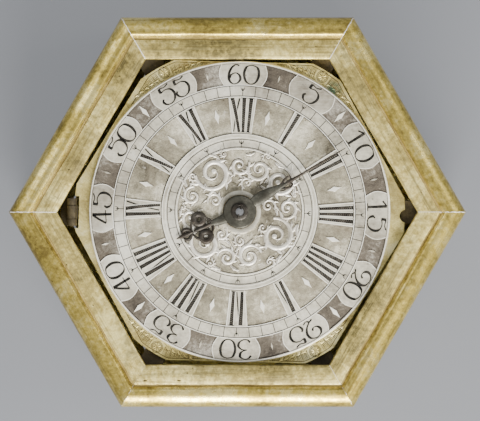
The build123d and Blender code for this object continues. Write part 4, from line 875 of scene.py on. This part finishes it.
def scroll(cx, cy, r0, turn, start, sweep, w, h=0.5, leafs=5):
    n = 44
    pts, ws = [], []
    for i in range(n + 1):
        t = i / n
        r = r0 * (1 - 0.86 * t) ** 1.1
        a = math.radians(start + turn * sweep * t)
        pts.append((cx + r * math.cos(a), cy + r * math.sin(a)))
        ws.append(w * (0.35 + 0.9 * math.sin(math.pi * min(1, t * 1.15 + 0.12)) ** 0.7))
    # a wider dark band under the scroll: painted shade round the raised relief
    orn.ribbon(pts, [q + 0.17 for q in ws], ZC, 0.05, False, 2)
    orn.ribbon(pts, ws, ZC, h, True, 0)
    # an eye at the inner end
    e = pts[-1]
    loop = [(e[0] + w * 1.25 * math.cos(q * math.pi / 5), e[1] + w * 1.25 * math.sin(q * math.pi / 5)) for q in range(10)]
    orn.prism(loop, ZC, ZC + h * 1.05, 0.12, 0)
    # leaf lobes growing outward along the first part
    for j in range(leafs):
        t = 0.06 + 0.42 * j / max(1, leafs)
        i = int(t * n)
        p = pts[i]
        a = math.radians(start + turn * sweep * t)
        dirx, diry = math.cos(a), math.sin(a)
        tx, ty = -diry * turn, dirx * turn
        ln_ = w * (4.6 - 2.4 * t)
        q = []
        for s in range(9):
            u = s / 8
            q.append((p[0] + dirx * ln_ * u * 0.75 - tx * ln_ * (u ** 1.6) * 0.75, p[1] + diry * ln_ * u * 0.75 - ty * ln_ * (u ** 1.6) * 0.75))
        # a wider dark band under each lobe: painted shade round the raised relief
        orn.ribbon(q, [w * 0.85 * math.sin(math.pi * (0.18 + 0.8 * s / 8)) + 0.16 for s in range(9)], ZC, 0.04, False, 2)
        orn.ribbon(q, [w * 0.85 * math.sin(math.pi * (0.18 + 0.8 * s / 8)) + 0.03 for s in range(9)], ZC, h * 0.85, True, 0)
    return pts


def leaf(x, y, ang, L, w, curl=0.0, h=0.46, veins=True):
    n = 16
    pts, ws = [], []
    a = math.radians(ang)
    px, py = x, y
    for i in range(n + 1):
        t = i / n
        pts.append((px, py))
        ws.append(w * math.sin(math.pi * (0.06 + 0.93 * t) ** 0.8) * (1 + 0.22 * math.sin(t * 18)))
        px += math.cos(a) * L / n
        py += math.sin(a) * L / n
        a += math.radians(curl) / n
    # a wider dark band under the leaf: painted shade round the raised relief
    orn.ribbon(pts, [q + 0.15 for q in ws], ZC, 0.045, False, 2)
    orn.ribbon(pts, ws, ZC, h, True, 0)
    if veins:
        orn.ribbon(pts[1:-2], 0.06, ZC + h * 0.93, 0.05, False, 1)


def inside(x, y):
    r = math.hypot(x, y)
    return 7.0 < r < 18.6


S = [  # cx, cy, r, turn, start, sweep, w
    (-8.4, 11.6, 5.6, 1, 190, 600, 0.62), (-0.4, 14.2, 3.1, -1, 20, 500, 0.46), (5.6, 13.0, 3.6, 1, 170, 540, 0.5),
    (12.0, 9.4, 4.6, -1, 70, 600, 0.6), (14.6, 1.4, 3.2, 1, 250, 520, 0.46), (11.4, -7.0, 5.4, -1, 100, 620, 0.62),
    (3.4, -13.6, 3.9, 1, 20, 560, 0.52), (-3.6, -14.2, 3.1, -1, 170, 520, 0.46), (-10.2, -10.0, 5.0, 1, 110, 600, 0.6),
    (-14.9, -2.4, 3.0, -1, 300, 520, 0.44), (-14.6, 4.4, 2.9, 1, 80, 520, 0.42),
    (-7.6, 3.2, 2.4, -1, 200, 500, 0.38), (8.7, 2.0, 2.3, 1, 330, 500, 0.38), (7.2, -4.6, 1.6, -1, 20, 460, 0.3),
    (0.4, -8.9, 1.9, 1, 90, 480, 0.32), (-5.4, -7.0, 2.0, -1, 60, 480, 0.34), (2.0, 8.9, 1.9, -1, 250, 480, 0.32),
    (-8.9, -3.2, 1.5, 1, 140, 460, 0.28), (16.3, -9.2, 1.5, 1, 60, 440, 0.28), (8.0, 17.0, 1.3, -1, 220, 440, 0.26),
    (-14.6, 10.4, 1.4, -1, 320, 440, 0.26), (-5.2, 17.6, 1.1, 1, 120, 420, 0.24), (9.6, -15.2, 1.5, 1, 300, 440, 0.28),
    (-8.6, -16.0, 1.2, -1, 80, 420, 0.24), (16.9, 5.6, 1.2, 1, 10, 420, 0.24), (-17.6, 0.9, 0.9, -1, 90, 400, 0.2)]
for q in S:
    scroll(*q)
LV = [(-16.4, 7.2, 110, 4.0, 0.62, 60), (-9.8, 17.0, 10, 4.0, 0.6, -70), (1.4, 17.6, -10, 3.4, 0.55, 60), (10.6, 15.4, -50, 3.8, 0.6, 50),
      (16.4, 8.2, -70, 3.6, 0.55, -50), (18.0, -3.4, -110, 4.2, 0.6, 40), (13.2, -13.0, 220, 4.0, 0.62, 60), (0.2, -18.0, 170, 3.8, 0.55, -60),
      (-5.4, -18.0, 150, 3.8, 0.6, 50), (-15.6, -7.4, 130, 3.6, 0.55, -60), (-18.2, -2.0, 95, 3.6, 0.5, -40),
      (-4.2, 8.6, 30, 3.4, 0.5, 90), (6.2, 8.0, -20, 3.2, 0.5, -80), (11.4, -0.9, 80, 3.0, 0.45, 80), (3.6, -8.8, 250, 3.0, 0.45, -80),
      (-2.6, -10.4, 110, 3.0, 0.45, 80), (-11.4, 0.4, 200, 3.0, 0.45, 80), (-11.2, 6.0, 50, 3.0, 0.45, 80), (9.2, 5.4, 120, 2.8, 0.45, -70),
      (-2.2, 11.2, 200, 2.6, 0.42, 60), (8.6, 10.6, 250, 2.6, 0.42, -60), (15.6, -4.6, 60, 2.6, 0.42, 60), (6.6, -10.0, 160, 2.8, 0.42, 70),
      (-1.0, -12.2, 40, 2.4, 0.4, 60), (-13.0, -5.6, 20, 2.6, 0.42, -60), (-12.4, 7.8, 330, 2.4, 0.4, 60), (2.8, 12.2, 100, 2.4, 0.4, 60),
      (-6.8, -3.2, 250, 2.2, 0.36, 80), (5.9, -7.4, 40, 2.2, 0.36, -80), (17.2, 1.6, 120, 2.6, 0.4, -60), (-16.9, -5.2, 300, 2.6, 0.4, 60)]
for q in LV:
    leaf(*q)
# fine hatching between the scrolls
for i in range(260):
    rr, an = 7.4 + 11.0 * random.random() ** 0.8, 360 * random.random()
    L = 0.5 + 0.9 * random.random()
    da = 30 + 60 * random.random()
    x, y = pol(rr, an)
    c1, s1 = math.cos(math.radians(an + da)), math.sin(math.radians(an + da))
    c2, s2 = math.cos(math.radians(an + da + 35)), math.sin(math.radians(an + da + 35))
    orn.ribbon([(x, y), (x + c1 * L * 0.5, y + s1 * L * 0.5), (x + c1 * L * 0.5 + c2 * L * 0.5, y + s1 * L * 0.5 + s2 * L * 0.5)],
               [0.03, 0.085, 0.03], ZC, 0.10 if i % 2 else 0.03, bool(i % 2), 0 if i % 2 else 2)
orn_ob = orn.out("centre_scrollwork", [M["relief"], M["dark"], M["dark"]], 50)
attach(orn_ob, "movement")

# ------------------------------------------------------------------ dial plate corners: engraved rosettes and leaf rays
pl = frame["nodes"]["dial_plate"]
eng = Geo()
ZP = 73.6
for k in range(6):
    a0 = 60.0 * k

    def cw(x, y, a=math.radians(a0)):
        return T(x * math.cos(a) - y * math.sin(a), x * math.sin(a) + y * math.cos(a))
    eng.warp = cw
    if k in (0, 3):
        continue
    cx = 48.5
    for q in range(8):
        b = math.pi * 2 * q / 8
        eng.ribbon([(cx + 0.25 * math.cos(b), 0.25 * math.sin(b)), (cx + 0.75 * math.cos(b), 0.75 * math.sin(b)), (cx + 1.15 * math.cos(b), 1.15 * math.sin(b))],
                   [0.06, 0.24, 0.05], ZP, 0.08, True, 0)
        eng.ribbon([(cx + 0.4 * math.cos(b + 0.39), 0.4 * math.sin(b + 0.39)), (cx + 1.2 * math.cos(b + 0.39), 1.2 * math.sin(b + 0.39))], 0.07, ZP, 0.02, False, 1)
    for rr in (0.3, 1.4, 1.75):
        eng.ribbon([(cx + rr * math.cos(math.pi * 2 * q / 28), rr * math.sin(math.pi * 2 * q / 28)) for q in range(29)], 0.085, ZP, 0.02, False, 1)
    lim = {1: 46.0, 2: 46.6, 4: 46.6, 5: 46.0}[k] if k in (1, 2, 4, 5) else 46.0

    def edge(y, lo):
        """Where the plate ends at this height, on the shorter of its two edges."""
        return min((45.6 - abs(y) * 0.5) / 0.866, math.sqrt(max(0.0, 50.2 ** 2 - y * y)))
    for s in (-1, 1):
        for j in range(44):
            y = s * (1.2 + j * 0.36)
            xr = edge(y, lim) - 0.3
            xi = math.sqrt(max(0, 46.35 ** 2 - y * y))
            if xr - xi > 0.35:
                m1 = 0.35 + 0.3 * math.sin(j * 1.7 + k)
                if abs(y) < 2.1 and xr > cx - 1.9:
                    xr = min(xr, cx - 1.9)
                if xr - xi > 0.25:
                    eng.ribbon([(xi, y), (xi + (xr - xi) * m1, y + s * 0.12), (xr, y + s * 0.3)], [0.03, 0.10, 0.03], ZP, 0.02, False, 1)
        pts = [(edge(s * (0.3 + j * 0.9), lim) - 0.28, s * (0.3 + j * 0.9)) for j in range(20)]
        pts = [q for q in pts if q[0] > math.sqrt(max(0, 46.2 ** 2 - q[1] ** 2)) + 0.15]
        if len(pts) > 2:
            eng.ribbon(pts, 0.09, ZP, 0.02, False, 1)
        for j in range(6):
            y = s * (2.9 + j * 1.9)
            x = math.sqrt(46.4 ** 2 - y * y) + 0.55
            if x < edge(y, lim) - 0.7:
                eng.ribbon([(x - 0.2, y - s * 0.6), (x + 0.45, y), (x + 0.3, y + s * 1.0)], [0.06, 0.36, 0.05], ZP, 0.12, True, 0)
                eng.ribbon([(x - 0.3, y - s * 0.7), (x + 0.8, y - s * 0.05), (x + 0.6, y + s * 1.1)], [0.04, 0.09, 0.04], ZP, 0.02, False, 1)
# the index 1 lines are near-black: painted shade of the engraved cuts, with dirt
engr = eng.out("dial_plate_engraving", [M["plate"], M["groove"]])
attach(engr, "movement")

# ------------------------------------------------------------------ hands
HA = math.radians(90 - 246.7) - MROT
MA = math.radians(90 - 58.9) - MROT


def hand_warp(a):
    return lambda x, y: T(x * math.cos(a) - y * math.sin(a), x * math.sin(a) + y * math.cos(a))


hg = Geo(hand_warp(HA))
Z0 = 75.2
hg.ribbon(spline([(3.6, 0), (6.5, 0.1), (9.4, 0.0)], 5), [1.75 - 0.075 * i for i in range(11)], Z0, 0.6, True, 1)
hg.ribbon(spline([(8.4, 0), (10.4, 0), (12.6, 0), (15.2, 0)], 5), [0.85, 0.8, 0.7, 0.62, 0.6, 0.6, 0.62, 0.66, 0.66, 0.64, 0.62, 0.6, 0.58, 0.56, 0.5, 0.45], Z0, 0.55, True, 0)
for s in (-1, 1):
    # pierced round eyes
    cx, cy, rr = 12.4, s * 2.9, 1.5
    pts = [(cx + rr * math.cos(2 * math.pi * q / 28 + 0.3), cy + rr * math.sin(2 * math.pi * q / 28 + 0.3)) for q in range(29)]
    hg.ribbon(pts, 0.92, Z0, 0.62, True, 0, cap=False)
    hg.ribbon(spline([(9.0, s * 0.3), (9.6, s * 1.7), (10.9, s * 3.3)], 6), [0.5, 0.5, 0.5, 0.45, 0.45, 0.4, 0.4, 0.35, 0.35, 0.3, 0.3, 0.25, 0.2], Z0, 0.55, True, 0)
    hg.ribbon(spline([(13.6, s * 3.6), (15.0, s * 2.4), (15.9, s * 0.6)], 6), [0.3, 0.34, 0.38, 0.4, 0.42, 0.44, 0.44, 0.42, 0.4, 0.36, 0.32, 0.26, 0.2], Z0, 0.5, True, 0)
    hg.ribbon(spline([(15.9, s * 0.3), (17.2, s * 1.5), (18.5, s * 1.3), (18.9, s * 0.5)], 5), [0.2, 0.3, 0.4, 0.5, 0.58, 0.62, 0.62, 0.58, 0.52, 0.46, 0.4, 0.34, 0.3, 0.26, 0.2, 0.14], Z0, 0.5, True, 0)
hg.ribbon(spline([(15.4, 0), (17.2, 0), (19.2, 0), (21.1, 0)], 5), [0.45, 0.48, 0.52, 0.58, 0.64, 0.7, 0.74, 0.76, 0.76, 0.72, 0.64, 0.54, 0.42, 0.3, 0.16, 0.05], Z0, 0.55, True, 0)
hour = hg.out("hour_hand_blade", [M["hand"], M["handlight"]], 50)
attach(hour, "hour_group")
hboss = lathe("hour_hand_boss", [(3.02, 75.1), (3.02, 75.75), (3.3, 75.85), (4.4, 75.85), (4.9, 75.6), (5.05, 75.3), (4.9, 75.1)],
              [M["handlight"]], None, seg=64)
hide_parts("hour_hand")
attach(hboss, "hour_group")

mg = Geo(hand_warp(MA))
Z1 = 76.25
mg.ribbon(spline([(3.0, 0), (6.0, 0.25), (10.0, 0.35), (14.0, 0.1), (17.0, 0)], 5),
          [1.0, 1.1, 1.25, 1.45, 1.6, 1.72, 1.8, 1.84, 1.82, 1.76, 1.66, 1.55, 1.42, 1.3, 1.16, 1.02, 0.9, 0.78, 0.66, 0.56, 0.5], Z1, 0.6, True, 1)
for s, x0 in ((1, 15.2), (-1, 14.6)):
    mg.ribbon(spline([(x0, s * 0.5), (x0 + 1.4, s * 1.25), (x0 + 2.9, s * 1.55), (x0 + 3.6, s * 0.95), (x0 + 3.0, s * 0.5)], 5),
              [0.3, 0.32, 0.34, 0.36, 0.38, 0.38, 0.38, 0.36, 0.36, 0.34, 0.34, 0.32, 0.32, 0.3, 0.3, 0.28, 0.26, 0.24, 0.22, 0.2, 0.16], Z1, 0.5, True, 0)
mg.ribbon(spline([(16.6, 0), (19.0, 0.05), (22.0, 0.0), (28.6, 0.0)], 6),
          [0.55, 0.6, 0.66, 0.7, 0.66, 0.6, 0.54, 0.5, 0.48, 0.46, 0.45, 0.44, 0.43, 0.42, 0.42, 0.41, 0.41, 0.4, 0.4], Z1, 0.5, True, 0)
mg.ribbon([(28.4, 0), (28.9, 0), (29.3, 0), (32.0, 0), (35.0, 0), (37.8, 0)], [0.4, 0.52, 0.36, 0.3, 0.22, 0.08], Z1, [0.5, 0.55, 0.48, 0.42, 0.36, 0.25], True, 0)
minute = mg.out("minute_hand_blade", [M["hand"], M["handlight"]], 50)
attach(minute, "minute_group")
mboss = lathe("minute_hand_boss", [(1.92, 76.2), (1.92, 76.93), (4.4, 76.93), (4.75, 76.88), (4.97, 76.7), (5.0, 76.4), (4.95, 76.2)],
              [M["handlight"]], None, seg=64)
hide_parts("minute_hand")
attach(mboss, "minute_group")
cboss = lathe("hand_collet_turned", [(1.28, 76.95), (1.28, 77.38), (1.7, 77.42), (2.3, 77.38), (2.55, 77.25), (2.62, 77.1), (2.6, 76.95)],
              [M["hand"]], None, seg=48)
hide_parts("hand_collet")
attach(cboss, "minute_group")
# taper pin through the square, and the filed square end
pg = Geo(hand_warp(MA + 0.7))
pg.ribbon([(-2.2, 0), (-1.0, 0.02), (1.0, 0.0), (2.3, 0.04)], [0.16, 0.26, 0.3, 0.34], 77.38, 0.4, True, 0)
pg.ribbon(spline([(1.6, 1.0), (2.1, 0.2), (1.7, -0.9), (0.7, -1.6), (-0.5, -1.7)], 5), 0.2, 77.38, 0.3, True, 0)
pg.prism([(0.5, 0.5), (-0.5, 0.5), (-0.5, -0.5), (0.5, -0.5)], 77.2, 77.95, 0.12, 2)
pin = pg.out("hand_pin", [M["hand"], M["handlight"], M["lite"]])
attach(pin, "minute_group")

# ------------------------------------------------------------------ carried-over nodes get their metals
BYSLOT = {"gilt_case": "wall", "gilt_dial": "plate", "silver": "sil", "glass": "glass", "blued_steel": "hand",
          "bell_metal": "bell", "brass": "brass", "steel": "steel"}
slots = {sp["node"]: sp["material_slot"] for sp in frame["record"]["subparts"]}
# the lugs, hinge and catch lie in the gaps round the dial plate and get near-black brass: painted shade
GAP_SHADED_PARTS = ("dial_lugs", "movement_hinge_case_leaf", "movement_hinge_leaf", "movement_hinge_pin", "catch_guide", "movement_catch")
for name, ob in frame["nodes"].items():
    m = M["dirty"] if name in GAP_SHADED_PARTS else M[BYSLOT[slots[name]]]
    ob.data.materials.clear()
    ob.data.materials.append(m)
